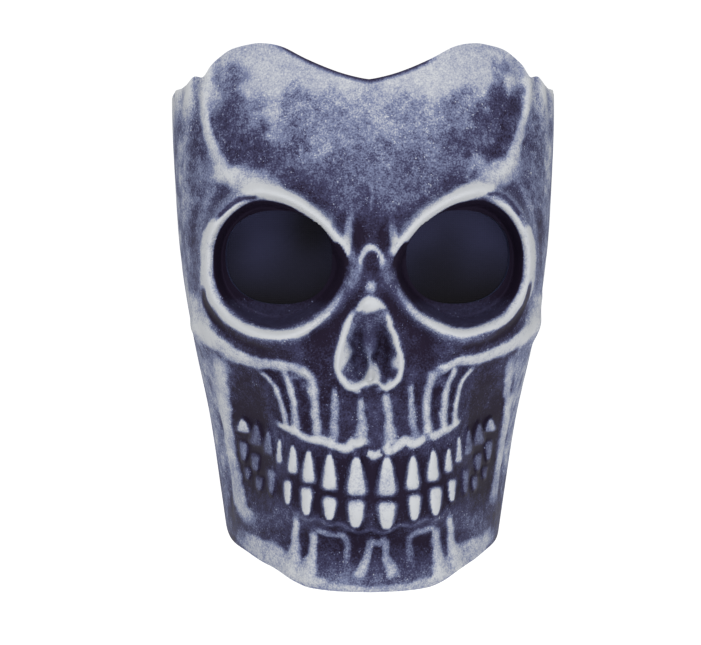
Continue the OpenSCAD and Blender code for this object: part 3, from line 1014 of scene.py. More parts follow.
@dataclass
class FaceRelief:
    """Height and paint of the modelled skull over the plain surface.

    Attributes:
        form: The plain surface.
        socket_z: Height of the sockets' centres.
        floor_share: Edge of a socket's floor, as a share of the socket.
        rim_share: Edge of its rim.
        side_fade: Degrees from straight ahead where the relief is gone and where it is full.
        socket_radii: Radius of a socket by direction, from outwards over up, in and down.
        fold_pitch: Degrees from one upright fold of the side walls to the next.
        side_start: Depth at which the even wash of the side walls begins.
    """

    form: SkullForm
    socket_z: float = 2.0
    floor_share: float = 0.89
    rim_share: float = 1.03
    side_fade: tuple[float, float] = (84.0, 66.0)
    socket_radii: tuple = ((0, 31), (45, 33), (70, 33), (90, 30.5), (120, 27.5), (150, 28),
                           (180, 31), (210, 28.5), (240, 27), (270, 28.5), (300, 29.5), (330, 31),
                           (360, 31))
    fold_pitch: float = 12.0
    side_start: float = -70.0

    def socket_share(self, x: Grid, z: Grid) -> Grid:
        """Distance from a socket's centre as a share of the way to its edge.

        Args:
            x: Places across.
            z: Places up.

        Returns:
            The shares.
        """
        dx, dz = np.abs(x) - self.form.eye_x, z - self.socket_z
        turn = np.degrees(np.arctan2(dz, dx)) % 360
        return np.hypot(dx, dz) / smooth_curve(self.socket_radii, turn, 1)

    def broad(self, x: Grid, z: Grid, share: Grid) -> Grid:
        """The large features.

        Args:
            x: Places across.
            z: Places up.
            share: Socket shares there.

        Returns:
            Heights.
        """
        ax = np.abs(x)
        hollow = np.hypot(ax / (8.6 + 0.13 * np.clip(-z - 30, -8, 20)), (z + 38) / 16)
        septum = np.hypot(ax / 5.2, (z + 33) / 9.5)
        rims = 5 * bump(share - 1.16, 0.14) * (1 + 0.5 * ramp(z, 5, 30))
        bridge = 6 * bump(ax, 9) * plateau(z + 6, 22)
        nose = 6 * plateau(septum, 1) - 11 * plateau(hollow, 1)
        cheekbones = 6 * bump(z + 40 - 0.10 * ax, 8) * ramp(ax, 24, 38) * ramp(ax, 92, 78)
        cheeks = -8 * bump(ax - 60, 13) * plateau(z + 86, 32)
        muzzle = 8 * plateau(ax, 44) * plateau(z + 98, 27)
        chin = 4 * plateau(ax, 34) * bump(z + 148, 9) - 3 * plateau(ax, 40) * bump(z + 131, 7)
        return rims + bridge + nose + cheekbones + cheeks + muzzle + chin

    def corrugation(self, turn: Grid, z: Grid) -> Grid:
        """Upright folds of the side walls below their top corners.

        Args:
            turn: Degrees from straight ahead.
            z: Heights.

        Returns:
            Heights.
        """
        side = np.abs(turn)
        fade = ramp(z, 58, 92) * ramp(side, 40, 48) * ramp(side, 80, 68)
        return 1.1 * np.cos(2 * math.pi * (side - 50) / self.fold_pitch) * fade

    def drawn(self, x: Grid, y: Grid, z: Grid) -> tuple[Grid, Grid, Grid]:
        """Heights, paint and patchiness of the patches, teeth and strokes.

        Args:
            x: Places across.
            y: Places in depth, which move the washes of the side walls about.
            z: Places up.

        Returns:
            The three grids.
        """
        height = np.zeros_like(x)
        paint = np.full_like(x, 0.4)
        dry = np.full_like(x, 0.5)
        back = np.maximum(y - self.side_start, 0)
        cloud_x = x + wander(x + back, z, (3.2, 22, 6), (1.5, 8, 7))
        cloud_z = z + wander(x + back, z, (2.6, 22, 8), (1.5, 8, 9))
        calm = 0.3 + 0.7 * ramp(self.socket_share(x, z), 1.2, 1.5)
        hand_x = x + calm * wander(x, z, (0.28, 10, 1), (0.1, 3.5, 2))
        hand_z = z + calm * wander(x, z, (0.28, 10, 3), (0.1, 3.5, 4))
        for patch in PATCHES:
            cover = patch.cover(hand_x, hand_z, cloud_x, cloud_z)
            blend(paint, patch.paint, cover * patch.strength)
            blend(dry, patch.dry, cover)
            height += patch.rise * cover
        wash = 0.85 * ramp(back, 0, 26)
        blend(paint, 0.66 + wander(back, z, (0.16, 34, 10), (0.1, 12, 11))
              + 0.3 * ramp(z, 66, 82) - 0.34 * ramp(z, -102, -118), wash)
        blend(dry, 0.75, wash)
        # teeth: their flanks take thinner paint and painted shade, their faces full paint
        for tooth in TEETH:
            rise, shadow, side, face = tooth.cover(0.6 * x + 0.4 * hand_x, 0.6 * z + 0.4 * hand_z)
            height += rise
            blend(paint, shadow, side)
            blend(paint, tooth.paint, face)
            blend(dry, 0.42, side)
        for stroke in STROKES:
            near, gap, strength = stroke.cover(hand_x, hand_z)
            height[near] += stroke.height * bump(gap, 0.85) * strength
            halo = 0.35 * ramp(gap, 2.4, 0.7) * strength
            core = ramp(gap, 1.28, 0.62) * strength
            blend(paint, np.maximum(0.5 * stroke.paint, paint[near]), halo, near)
            blend(dry, 0.6, halo, near)
            blend(paint, stroke.paint, core, near)
            blend(dry, stroke.dry, core, near)
        return height, paint, dry


# --------------------------------------------------------------------------- mesh helpers


def linked(name: str, data: bpy.types.ID) -> Piece:
    """A new object of the scene, at the origin.

    Args:
        name: Its name.
        data: Its mesh, light or camera.

    Returns:
        The object.
    """
    piece = bpy.data.objects.new(name, data)
    bpy.context.scene.collection.objects.link(piece)
    return piece


def shade_smooth(mesh: bpy.types.Mesh) -> None:
    """Shades every face smoothly."""
    mesh.polygons.foreach_set("use_smooth", np.ones(len(mesh.polygons), bool))


def mesh_object(name: str, points: Iterable, faces: Iterable,
                materials: Sequence[Material] = (), edges: Iterable = ()) -> Piece:
    """A smooth-shaded mesh object at the origin.

    Args:
        name: Its name.
        points: Points in millimetres.
        faces: Faces as lists of point numbers.
        materials: Its materials.
        edges: Edges that no face has.

    Returns:
        The object.
    """
    mesh = bpy.data.meshes.new(name)
    scaled = np.asarray(points, float) * MM
    mesh.from_pydata(scaled.tolist(), edges, [list(map(int, face)) for face in faces])
    mesh.update()
    shade_smooth(mesh)
    for material in materials:
        mesh.materials.append(material)
    return linked(name, mesh)


def grid_faces(columns: int, rows: int, start: int = 0, flipped: bool = False) -> Grid:
    """Quads of a grid of points kept column by column.

    Args:
        columns: Cells across.
        rows: Cells up.
        start: Number of the first point.
        flipped: Whether the faces point the other way.

    Returns:
        One row of four numbers for each quad.
    """
    i, j = np.meshgrid(np.arange(columns), np.arange(rows), indexing="ij")
    a = start + i * (rows + 1) + j
    quads = np.stack([a, a + rows + 1, a + rows + 2, a + 1], axis=-1).reshape(-1, 4)
    return quads[:, ::-1] if flipped else quads


def ring_faces(rings: int, count: int, start: int = 0, closed: bool = False) -> list[list[int]]:
    """Quads between rings of points that follow one another.

    Args:
        rings: Number of rings.
        count: Points of each.
        start: Number of the first point.
        closed: Whether the last ring joins the first.

    Returns:
        Faces.
    """
    faces = []
    for ring in range(rings if closed else rings - 1):
        a, b = start + ring * count, start + (ring + 1) % rings * count
        faces += [[a + k, b + k, b + (k + 1) % count, a + (k + 1) % count] for k in range(count)]
    return faces


def border(columns: int, rows: int, start: int = 0) -> list[int]:
    """The closed border of a grid of cells, in the direction of its faces.

    Args:
        columns: Cells across.
        rows: Cells up.
        start: Number of the first point.

    Returns:
        Point numbers.
    """
    number = start + np.arange((columns + 1) * (rows + 1)).reshape(columns + 1, rows + 1)
    return [*number[:-1, 0], *number[-1, :-1], *number[:0:-1, -1], *number[0, :0:-1]]


def slab(outer: Grid, inner: Grid) -> tuple[Grid, list]:
    """A closed skin between two grids of equal size.

    Args:
        outer: Points of the outer grid, columns by rows.
        inner: Points of the inner grid.

    Returns:
        Points and faces.
    """
    columns, rows = outer.shape[0] - 1, outer.shape[1] - 1
    points = np.vstack([outer.reshape(-1, 3), inner.reshape(-1, 3)])
    start = (columns + 1) * (rows + 1)
    faces = grid_faces(columns, rows).tolist() + grid_faces(columns, rows, start, True).tolist()
    a, b = border(columns, rows), border(columns, rows, start)
    for k in range(len(a)):
        n = (k + 1) % len(a)
        faces.append([a[n], a[k], b[k], b[n]])
    return points, faces


def square_grid(columns: int, rows: int) -> tuple[Grid, Grid]:
    """Places from -1 to 1 along and up a grid of cells.

    Args:
        columns: Cells along.
        rows: Cells up.

    Returns:
        The two grids.
    """
    return tuple(np.meshgrid(np.linspace(-1, 1, columns + 1), np.linspace(-1, 1, rows + 1),
                             indexing="ij"))


def facing_out(piece: Piece, merge: float = 0.0) -> None:
    """Merges doubles and makes a closed mesh face outwards.

    Args:
        piece: The object.
        merge: Distance in millimetres below which points are merged.
    """
    shape = bmesh.new()
    shape.from_mesh(piece.data)
    if merge:
        bmesh.ops.remove_doubles(shape, verts=shape.verts, dist=merge * MM)
    bmesh.ops.recalc_face_normals(shape, faces=shape.faces)
    shape.to_mesh(piece.data)
    shape.free()


def applied(piece: Piece) -> None:
    """Replaces an object's mesh by what its modifiers make of it."""
    graph = bpy.context.evaluated_depsgraph_get()
    graph.update()
    mesh = bpy.data.meshes.new_from_object(piece.evaluated_get(graph))
    piece.modifiers.clear()
    piece.data = mesh


def placed(piece: Piece, body: str, slot: str, *nodes: str) -> Piece:
    """Makes a piece ride on a body and stand for its frame nodes.

    Args:
        piece: The object.
        body: The body.
        slot: The material slot of the record; not used.
        nodes: The frame nodes that it replaces.

    Returns:
        The object.
    """
    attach(piece, body)
    if nodes:
        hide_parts(*nodes)
    LOG.info("%s rides on %s, %d faces", piece.name, body, len(piece.data.polygons))
    return piece


# --------------------------------------------------------------------------- the shell


@dataclass
class FaceShell:
    """The moulded latex face.

    Attributes:
        form: The plain surface.
        relief: What is modelled on it.
        columns: Cells across the outside.
        rows: Cells up it.
        coarse: Cells of the outside to one of the inside.
        fine_arc: Share of each half's arc that has the close columns of the front.
        fine_columns: Number of those columns in each half.
        fine_top: Share of the height that has the close rows.
        fine_rows: Number of those rows.
        dark_edge: Middle of the bare top edge across, and how far from it the edge begins and is
            full.
    """

    form: SkullForm
    relief: FaceRelief
    columns: int = 294
    rows: int = 285
    coarse: int = 3
    fine_arc: float = 0.56
    fine_columns: int = 108
    fine_top: float = 0.755
    fine_rows: int = 240
    dark_edge: tuple[float, float, float] = (-6.0, 42.0, 32.0)

    def turns(self) -> Grid:
        """Degrees from straight ahead of each column, close together over the front.

        Returns:
            The degrees, by their arc length at the height of the cheekbones.
        """
        cheek_z = -40.0
        turn = np.linspace(0, 90, 2000)
        line = self.form.base(turn, np.full_like(turn, cheek_z))
        run = np.concatenate([[0], np.cumsum(np.linalg.norm(np.diff(line, axis=0), axis=1))])
        run /= run[-1]
        half = self.columns // 2
        share = np.interp(np.arange(half + 1), (0, self.fine_columns, half), (0, self.fine_arc, 1))
        side = np.interp(share, run, turn)
        return np.concatenate([-side[:0:-1], side])

    def grid(self) -> tuple[Grid, Grid, Grid]:
        """The outer grid on the plain surface.

        Returns:
            Points, their turns, and their outward directions.
        """
        turn = self.turns()[:, None]
        up = np.interp(np.arange(self.rows + 1), (0, self.fine_rows, self.rows),
                       (0, self.fine_top, 1))[None]
        low, high = self.form.bottom_z(turn), self.form.top_z(turn)
        z = low * (1 - up) + high * up
        points = self.form.base(turn + 0 * z, z)
        turn = turn + 0 * z
        return points, turn, self.form.lifted(points, turn)

    def raised(self, base: Grid, out: Grid, height: Grid, share: Grid) -> Grid:
        """Raises the plain surface and sinks its sockets.

        Args:
            base: Points of the plain surface.
            out: Their outward directions.
            height: Heights.
            share: Socket shares.

        Returns:
            Points.
        """
        points = base + out * height[..., None]
        sunk = ramp(share, self.relief.rim_share, self.relief.floor_share)
        sunk = np.where(base[..., 1] > -self.form.shell_d / 4, 0, sunk)
        blend(points[..., 1], self.form.floor_at(points[..., 0]), sunk)
        return points

    def build(self, painted: Material, bare: Material) -> Piece:
        """Builds the shell.

        Args:
            painted: Finish of the outside.
            bare: Finish of the inside and the cut edges.

        Returns:
            The object.
        """
        base, turn, out = self.grid()
        x, y, z = np.moveaxis(base, -1, 0)
        share = self.relief.socket_share(x, z)
        drawn, paint, dry = self.relief.drawn(x, y, z)
        broad = self.relief.broad(x, z, share) + drawn * ramp(share, 0.95, 1.07)
        height = (broad * ramp(np.abs(turn), *self.relief.side_fade)
                  + self.relief.corrugation(turn, z))
        outer = self.raised(base, out, height, share)
        self._shade_hollows(x, y, z, share, height, paint, dry)
        edge = (ramp(self.form.top_z(turn) - z, 1.7, 1.0)
                * ramp(np.abs(x - self.dark_edge[0]), *self.dark_edge[1:]))
        blend(paint, 0, edge)
        blend(dry, 0, edge)

        low_height = box_blur(lowest_near(height, 3), 3, 2)
        soft = self.raised(base, out, low_height, share)[::self.coarse, ::self.coarse]
        normal = np.cross(np.gradient(soft, axis=0), np.gradient(soft, axis=1))
        normal /= np.linalg.norm(normal, axis=-1, keepdims=True)
        inner = soft - self.form.wall * normal
        return self._closed(outer, inner, paint, dry, painted, bare)

    def _shade_hollows(self, x: Grid, y: Grid, z: Grid, share: Grid,
                       height: Grid, paint: Grid, dry: Grid) -> None:
        """Rubs paint off hollows and onto ridges, as a dry brush does, and leaves the sockets
        nearly bare with painted shade: darkest at their top and beside the nose, a little lighter
        towards their bottom.

        Args:
            x: Places across.
            y: Places in depth.
            z: Places up.
            share: Socket shares there.
            height: Heights there.
            paint: Paint, changed.
            dry: Patchiness, changed.
        """
        cavity = box_blur(height, 1) - box_blur(height, 5, 2)
        paint += 0.16 * np.clip(cavity, -1.6, 1.6)
        inside = ramp(share, 1.035, 1.005) * (y < -self.form.shell_d / 4)
        near_nose = ramp(np.abs(x), 21, 18) * ramp(z, 16, 13) * ramp(z, 2, 5)
        inside = np.maximum(inside, near_nose * ramp(share, 1.1, 1.07))
        # painted shade in the sockets: darkest at their top and beside the nose, lighter towards
        # their bottom
        blend(paint, 0.45 * ramp(z, -6, -20) - 0.3, inside)
        blend(dry, 0, inside)

    def _hole_share(self, points: Grid, side: Side, shift: float) -> Grid:
        """Distance from an eye hole's centre as a share of the way to its edge.

        Args:
            points: Points.
            side: Which eye.
            shift: How far the outline has moved towards the nose.

        Returns:
            The shares.
        """
        f = self.form
        dx = np.abs(points[:, 0] - side.value * (f.eye_x - shift)) / f.hole_w
        dz = np.abs(points[:, 2] - f.hole_z) / f.hole_h
        return (dx**f.eye_square + dz**f.eye_square) ** (1 / f.eye_square)

    def _cut_holes(self, points: Grid, skins: list[Grid]) -> dict:
        """Cuts both eye holes and draws the edges that are left onto their outline.

        Args:
            points: All points; those on the edges are moved.
            skins: Quads of the outer and the inner skin, replaced by what is left of them.

        Returns:
            Point numbers and directions of each edge, by skin and side.
        """
        rings = {}
        slope = self.form.floor_slope
        lean = math.hypot(1, slope)
        for skin, back in enumerate((0.0, self.form.wall)):
            for side in (Side.LEFT, Side.RIGHT):
                shift = back * slope / lean
                share = self._hole_share(points, side, shift)
                share[points[:, 1] > -self.form.shell_d / 2] = np.inf
                inside = share < 1
                quads = skins[skin]
                skins[skin] = quads = quads[~inside[quads].all(axis=1)]
                edge = np.unique(quads[inside[quads]])
                centre = np.array([side.value * (self.form.eye_x - shift), self.form.hole_z])
                flat = (points[edge][:, [0, 2]] - centre) / share[edge][:, None]
                points[edge[:, None], [0, 2]] = centre + flat
                points[edge, 1] = back / lean + self.form.floor_at(
                    points[edge, 0] + side.value * shift)
                turn = np.arctan2(flat[:, 1], flat[:, 0])
                rings[(skin, side)] = (edge[np.argsort(turn)], np.sort(turn))
        return rings

    def _closed(self, outer: Grid, inner: Grid, paint: Grid, dry: Grid,
                painted: Material, bare: Material) -> Piece:
        """Cuts the eye holes and closes the skin.

        Args:
            outer: The outer grid.
            inner: The inner grid.
            paint: Paint of the outer grid.
            dry: Its patchiness.
            painted: Finish of the outside.
            bare: Finish of the inside.

        Returns:
            The object.
        """
        n_out, n_in = self.columns, self.columns // self.coarse
        r_out, r_in = self.rows, self.rows // self.coarse
        start = (n_out + 1) * (r_out + 1)
        points = np.vstack([outer.reshape(-1, 3), inner.reshape(-1, 3)])
        skins = [grid_faces(n_out, r_out), grid_faces(n_in, r_in, start, True)]
        rings = self._cut_holes(points, skins)
        rims = self._zip_border(border(n_out, r_out), border(n_in, r_in, start))
        for side in (Side.LEFT, Side.RIGHT):
            rims += self._zip_ring(rings[(0, side)], rings[(1, side)])
        faces = skins[0].tolist() + skins[1].tolist() + rims
        piece = mesh_object("skull_face_skin", points, faces, (painted, bare))
        mesh = piece.data
        kinds = np.ones(len(faces), np.int32)
        kinds[:len(skins[0])] = 0
        mesh.polygons.foreach_set("material_index", kinds)
        loop = np.zeros(len(points), np.int32)
        for number, ring in enumerate([border(n_out, r_out), border(n_in, r_in, start)]
                                      + [r[0] for r in rings.values()], 1):
            loop[np.asarray(ring)] = number
        pairs = np.empty(len(mesh.edges) * 2, np.int32)
        mesh.edges.foreach_get("vertices", pairs)
        ends = loop[pairs.reshape(-1, 2)]
        sharp = mesh.attributes.new("sharp_edge", "BOOLEAN", "EDGE")
        sharp.data.foreach_set("value", (ends[:, 0] > 0) & (ends[:, 0] == ends[:, 1]))
        for name, values in (("paint", paint), ("dry", dry)):
            full = np.zeros(len(points), np.float32)
            full[:start] = values.reshape(-1)
            mesh.attributes.new(name, "FLOAT", "POINT").data.foreach_set("value", full)
        shape = bmesh.new()
        shape.from_mesh(mesh)
        loose = [point for point in shape.verts if not point.link_faces]
        bmesh.ops.delete(shape, geom=loose, context="VERTS")
        shape.to_mesh(mesh)
        shape.free()
        return piece

    def _zip_border(self, outer: list[int], inner: list[int]) -> list[list[int]]:
        """Closes the cut edge between a fine and a coarse border.

        Args:
            outer: The fine border.
            inner: The coarse border, with one edge to three of the fine one.

        Returns:
            Faces.
        """
        faces = []
        for k, near in enumerate(inner):
            far = inner[(k + 1) % len(inner)]
            o = [outer[(self.coarse * k + n) % len(outer)] for n in range(4)]
            faces += [[o[1], o[0], near], [o[2], o[1], near, far], [o[3], o[2], far]]
        return faces

    @staticmethod
    def _zip_ring(outer: tuple[Grid, Grid], inner: tuple[Grid, Grid]) -> list[list[int]]:
        """Closes the wall of an eye hole between two rings sorted by direction.

        Args:
            outer: Point numbers and directions of the outer ring.
            inner: Those of the inner ring.

        Returns:
            Faces.
        """
        a, ta = outer
        b, tb = inner
        faces = []
        i = j = 0
        while i < len(a) or j < len(b):
            next_a = ta[i + 1] if i + 1 < len(a) else 2 * math.pi + ta[(i + 1) % len(a)]
            next_b = tb[j + 1] if j + 1 < len(b) else 2 * math.pi + tb[(j + 1) % len(b)]
            p, q = a[i % len(a)], b[j % len(b)]
            if j >= len(b) or (i < len(a) and next_a <= next_b):
                faces.append([p, a[(i + 1) % len(a)], q])
                i += 1
            else:
                faces.append([p, b[(j + 1) % len(b)], q])
                j += 1
        return faces


# --------------------------------------------------------------------------- the rest


@dataclass
class EyeWindow:
    """Dark gauze behind an eye hole, with the bead of glue that holds it.

    Attributes:
        form: The plain surface.
        side: Which eye.
        lap: How far the cloth reaches past the hole.
        gap: Distance of the cloth's edge behind the latex.
        cloth_t: Thickness of the cloth.
        sag: How far its middle hangs behind its edge.
        fold: Depth of its one soft crease.
        bead_gap: Distance of the bead's middle line behind the latex.
        bead_r: Radius of the bead.
    """

    form: SkullForm
    side: Side
    lap: float = 3.0
    gap: float = 0.5
    cloth_t: float = 0.3
    sag: float = 0.9
    fold: float = 0.5
    bead_gap: float = 2.0
    bead_r: float = 0.9

    def on_floor(self, u: Grid, w: Grid, back: Grid) -> Grid:
        """Points on the sloping floor of the socket.

        Args:
            u: Outward distance from the middle of the hole, along the floor.
            w: Height above it.
            back: Distance behind the floor.

        Returns:
            Points.
        """
        turn = math.atan(self.form.floor_slope)
        x = self.form.eye_x + u * math.cos(turn) - back * math.sin(turn)
        y = -self.form.floor_y + u * math.sin(turn) + back * math.cos(turn)
        return np.stack([self.side.value * x, y, self.form.hole_z + w], axis=-1)

    def outline(self, turn: Grid, grow: float) -> tuple[Grid, Grid]:
        """The eye outline, grown.

        Args:
            turn: Directions in radians.
            grow: How far beyond the hole.

        Returns:
            Outward distances and heights.
        """
        e = 2 / self.form.eye_square
        c, s = np.cos(turn), np.sin(turn)
        return ((self.form.hole_w + grow) * np.sign(c) * np.abs(c) ** e,
                (self.form.hole_h + grow) * np.sign(s) * np.abs(s) ** e)

    def build(self, gauze: Material, glue: Material) -> None:
        """Builds both pieces.

        Args:
            gauze: Finish of the cloth.
            glue: Finish of the bead.
        """
        back = self.form.wall + self.gap
        turns = np.linspace(0, 2 * math.pi, 72, endpoint=False)
        rings = np.linspace(0, 1, 22)[1:]
        edge_u, edge_w = self.outline(turns, self.lap)
        points = [self.on_floor(0.0, 0.0, back + self.sag)]
        for ring in rings:
            u, w = edge_u * ring, edge_w * ring
            crease = self.fold * bump(u * 0.75 + w - 4 - 0.02 * u * u, 1.6) * (1 - ring**4)
            points += list(self.on_floor(u, w, back + self.sag * (1 - ring**2) - crease))
        n = len(turns)
        faces = [[0, 1 + k, 1 + (k + 1) % n] for k in range(n)] + ring_faces(len(rings), n, 1)
        cloth = mesh_object(f"eye_gauze_{self.side.word}", points, faces, (gauze,))
        facing_out(cloth)
        solid = cloth.modifiers.new("cloth", "SOLIDIFY")
        solid.thickness = self.cloth_t * MM
        solid.offset = 0
        applied(cloth)
        placed(cloth, "mask", "eye_gauze", f"eye_mesh_{self.side.word}")
        self._bead(glue)

    def _bead(self, glue: Material) -> None:
        """Builds the lumpy bead of glue around the cloth.

        Args:
            glue: Its finish.
        """
        back = self.form.wall + self.bead_gap
        rng = np.random.default_rng(11 + self.side.value)
        count, around = 120, 10
        lumps = box_blur(rng.normal(0, 1, (count * 3, 1)), 3)[count:2 * count, 0]
        rise = self.bead_r * (1 + 0.22 * lumps / np.abs(lumps).max())
        u, w = self.outline(np.linspace(0, 2 * math.pi, count, endpoint=False), self.lap)
        points = []
        for turn in np.linspace(0, 2 * math.pi, around, endpoint=False):
            grow = 1 + rise * math.cos(turn) / np.hypot(u, w)
            points += list(self.on_floor(u * grow, w * grow, back + 0.8 * rise * math.sin(turn)))
        bead = mesh_object(f"glue_bead_{self.side.word}", points,
                           ring_faces(around, count, closed=True), (glue,))
        facing_out(bead)
        placed(bead, "mask", "bare_latex", f"mesh_bead_{self.side.word}")


@dataclass
class AnchorPatch:
    """The cloth-backed patch that carries a stud on the inside of the shell.

    Attributes:
        form: The plain surface.
        side: Which side it lies on.
        stud_y: Distance of the stud in front of the rear edge.
        stud_z: Height of the stud.
        half_y: Half the patch's length.
        half_z: Half its height.
        thick: Thickness at the stud.
        gap: Distance from the latex.
        bevel: How much thinner its edge is.
        seam: Depth of the groove pressed in beside the edge.
        least: Least thickness.
        cells: Cells along and up.
    """

    form: SkullForm
    side: Side
    stud_y: float = 16.0
    stud_z: float = 40.0
    half_y: float = 13.0
    half_z: float = 16.0
    thick: float = 2.4
    gap: float = 0.3
    bevel: float = 0.7
    seam: float = 0.25
    least: float = 0.3
    cells: int = 26

    def build(self, cloth: Material) -> None:
        """Builds the patch.

        Args:
            cloth: Its finish.
        """
        u, v = square_grid(self.cells, self.cells)
        y = np.minimum(-self.stud_y + self.half_y * u * np.sqrt(1 - v * v / 2), 0)
        z = self.stud_z + self.half_z * v * np.sqrt(1 - u * u / 2)
        wall = self.form.side_x(y, z) - self.form.wall - self.gap
        flat = (self.form.side_x(np.float64(self.stud_y), np.float64(self.stud_z))
                - self.form.wall - self.thick)
        rim = np.maximum(np.abs(u), np.abs(v))
        face = flat + self.bevel * ramp(rim, 0.8, 1) + self.seam * bump(rim - 0.72, 0.06)
        face = np.minimum(face, wall - self.least)
        points, faces = slab(*(np.stack([self.side.value * x, y, z], axis=-1)
                               for x in (wall, face)))
        patch = mesh_object(f"anchor_patch_cloth_{self.side.word}", points, faces, (cloth,))
        facing_out(patch)
        placed(patch, "mask", "bare_latex", f"anchor_patch_{self.side.word}")


@dataclass
class FoamPad:
    """A cloth-faced foam pad on the inside of the shell.

    Attributes:
        form: The plain surface.
        name: Name of the piece.
        node: The frame node that it stands for.
        turns: Degrees from straight ahead of its ends.
        heights: Its lower and upper edge.
        side: Which side a cheek pad lies on.
        fill: Shares of the pad's length and height that the cloth takes up.
        gap: Distance from the latex.
        edge_t: Thickness at the edge.
        crown: How much thicker it is in the middle.
        voxel: Grain of the mesh that is swollen.
        cap: How far any point may swell.
    """

    form: SkullForm
    name: str
    node: str
    turns: tuple[float, float]
    heights: tuple[float, float]
    side: Side = Side.LEFT
    fill: tuple[float, float] = (0.985, 0.97)
    gap: float = 0.7
    edge_t: float = 1.6
    crown: float = 4.4
    voxel: float = 2.4
    cap: float = 1.2

    def grid(self, off: Grid, u: Grid, v: Grid) -> Grid:
        """Points of the pad.

        Args:
            off: Distance inwards from the shell's plain surface.
            u: Place along it, from -1 to 1.
            v: Place up it, from -1 to 1.

        Returns:
            Points.
        """
        share = (u * np.sqrt(1 - v * v / 4) + 1) / 2
        rise = (v * np.sqrt(1 - u * u / 4) + 1) / 2
        turn = self.turns[0] * (1 - share) + self.turns[1] * share
        z = self.heights[0] * (1 - rise) + self.heights[1] * rise
        base = self.form.base(turn, z)
        points = base - self.form.outward(base) * off[..., None]
        points[..., 0] *= self.side.value
        return points

    def build(self, cloth: Material) -> None:
        """Builds the pad and swells its face.

        Args:
            cloth: Its finish.
        """
        u, v = square_grid(60, 30)
        rim = np.maximum(np.abs(u), np.abs(v))
        back = np.full_like(u, self.form.wall + self.gap)
        face = back + self.edge_t + self.crown * np.sqrt(np.clip(1 - rim**6, 0, 1))
        u, v = self.fill[0] * u, self.fill[1] * v
        points, faces = slab(self.grid(back, u, v), self.grid(face, u, v))
        pad = mesh_object(self.name, points, faces, (cloth,))
        facing_out(pad, 0.01)
        self._swell(pad)
        smooth = pad.modifiers.new("smooth", "SUBSURF")
        smooth.levels = smooth.render_levels = 1
        applied(pad)
        placed(pad, "mask", "foam", self.node)

    def _swell(self, pad: Piece) -> None:
        """Swells the pad as cloth under pressure, no point further than the cap.

        Args:
            pad: The pad.
        """
        remesh = pad.modifiers.new("remesh", "REMESH")
        remesh.mode = "VOXEL"
        remesh.voxel_size = self.voxel * MM
        applied(pad)
        start = np.empty(len(pad.data.vertices) * 3)
        pad.data.vertices.foreach_get("co", start)
        cloth = pad.modifiers.new("swell", "CLOTH")
        cloth.settings.use_pressure = True
        cloth.settings.uniform_pressure_force = 4
        cloth.settings.effector_weights.gravity = 0
        scene = bpy.context.scene
        for step in range(1, 21):
            scene.frame_set(step)
        graph = bpy.context.evaluated_depsgraph_get()
        swollen = pad.evaluated_get(graph).to_mesh()
        end = np.empty(len(start))
        swollen.vertices.foreach_get("co", end)
        pad.modifiers.clear()
        scene.frame_set(1)
        start, move = start.reshape(-1, 3), (end - start).reshape(-1, 3)
        size = np.linalg.norm(move, axis=1, keepdims=True)
        move *= np.minimum(1, self.cap * MM / np.maximum(size, 1e-9))
        pad.data.vertices.foreach_set("co", (start + move).reshape(-1))
        pad.data.update()
        shade_smooth(pad.data)


class ThreadTree(NodeBoard):
    """A Geometry Nodes tree, built once, that lays small solids along paths."""

    def __init__(self, name: str, inputs: dict[str, str]) -> None:
        """Starts a tree.

        Args:
            name: Its name.
            inputs: Kinds of its inputs, by name; a material is added to them.
        """
        super().__init__(bpy.data.node_groups.new(name, "GeometryNodeTree"))
        face = self.tree.interface
        face.new_socket("Geometry", in_out="INPUT", socket_type="NodeSocketGeometry")
        face.new_socket("Geometry", in_out="OUTPUT", socket_type="NodeSocketGeometry")
        self.keys = {}
        for label, kind in {**inputs, "Material": "Material"}.items():
            item = face.new_socket(label, in_out="INPUT", socket_type=f"NodeSocket{kind}")
            self.keys[label] = item.identifier
        self.start = self.tree.nodes.new("NodeGroupInput")
        self.end = self.tree.nodes.new("NodeGroupOutput")

    def given(self, label: str) -> Shade:
        """The value of one of the tree's inputs."""
        return Shade(self, self.start.outputs[label])

    def close(self, geometry: Shade) -> None:
        """Ends the tree in Realize Instances and Set Material.

        Args:
            geometry: What the tree has made.
        """
        real = self.add("GeometryNodeRealizeInstances", {}, {"Geometry": geometry})
        dressed = self.add("GeometryNodeSetMaterial", {}, {
            "Geometry": real, "Material": self.given("Material")})
        smooth = self.add("GeometryNodeSetShadeSmooth", {}, {"Geometry": dressed})
        self.tree.links.new(smooth.socket, self.end.inputs[0])

    def run(self, name: str, paths: Sequence[Grid], values: dict[str, Any]) -> Piece:
        """Runs the tree along paths and keeps the result as a plain mesh.

        Args:
            name: The new piece's name.
            paths: Points in millimetres.
            values: Values of the tree's inputs.

        Returns:
            The piece.
        """
        edges, first = [], 0
        for path in paths:
            edges += [(k, k + 1) for k in range(first, first + len(path) - 1)]
            first += len(path)
        piece = mesh_object(name, np.vstack(paths), (), edges=edges)
        modifier = piece.modifiers.new("rows", "NODES")
        modifier.node_group = self.tree
        for label, value in values.items():
            modifier[self.keys[label]] = value
        applied(piece)
        return piece


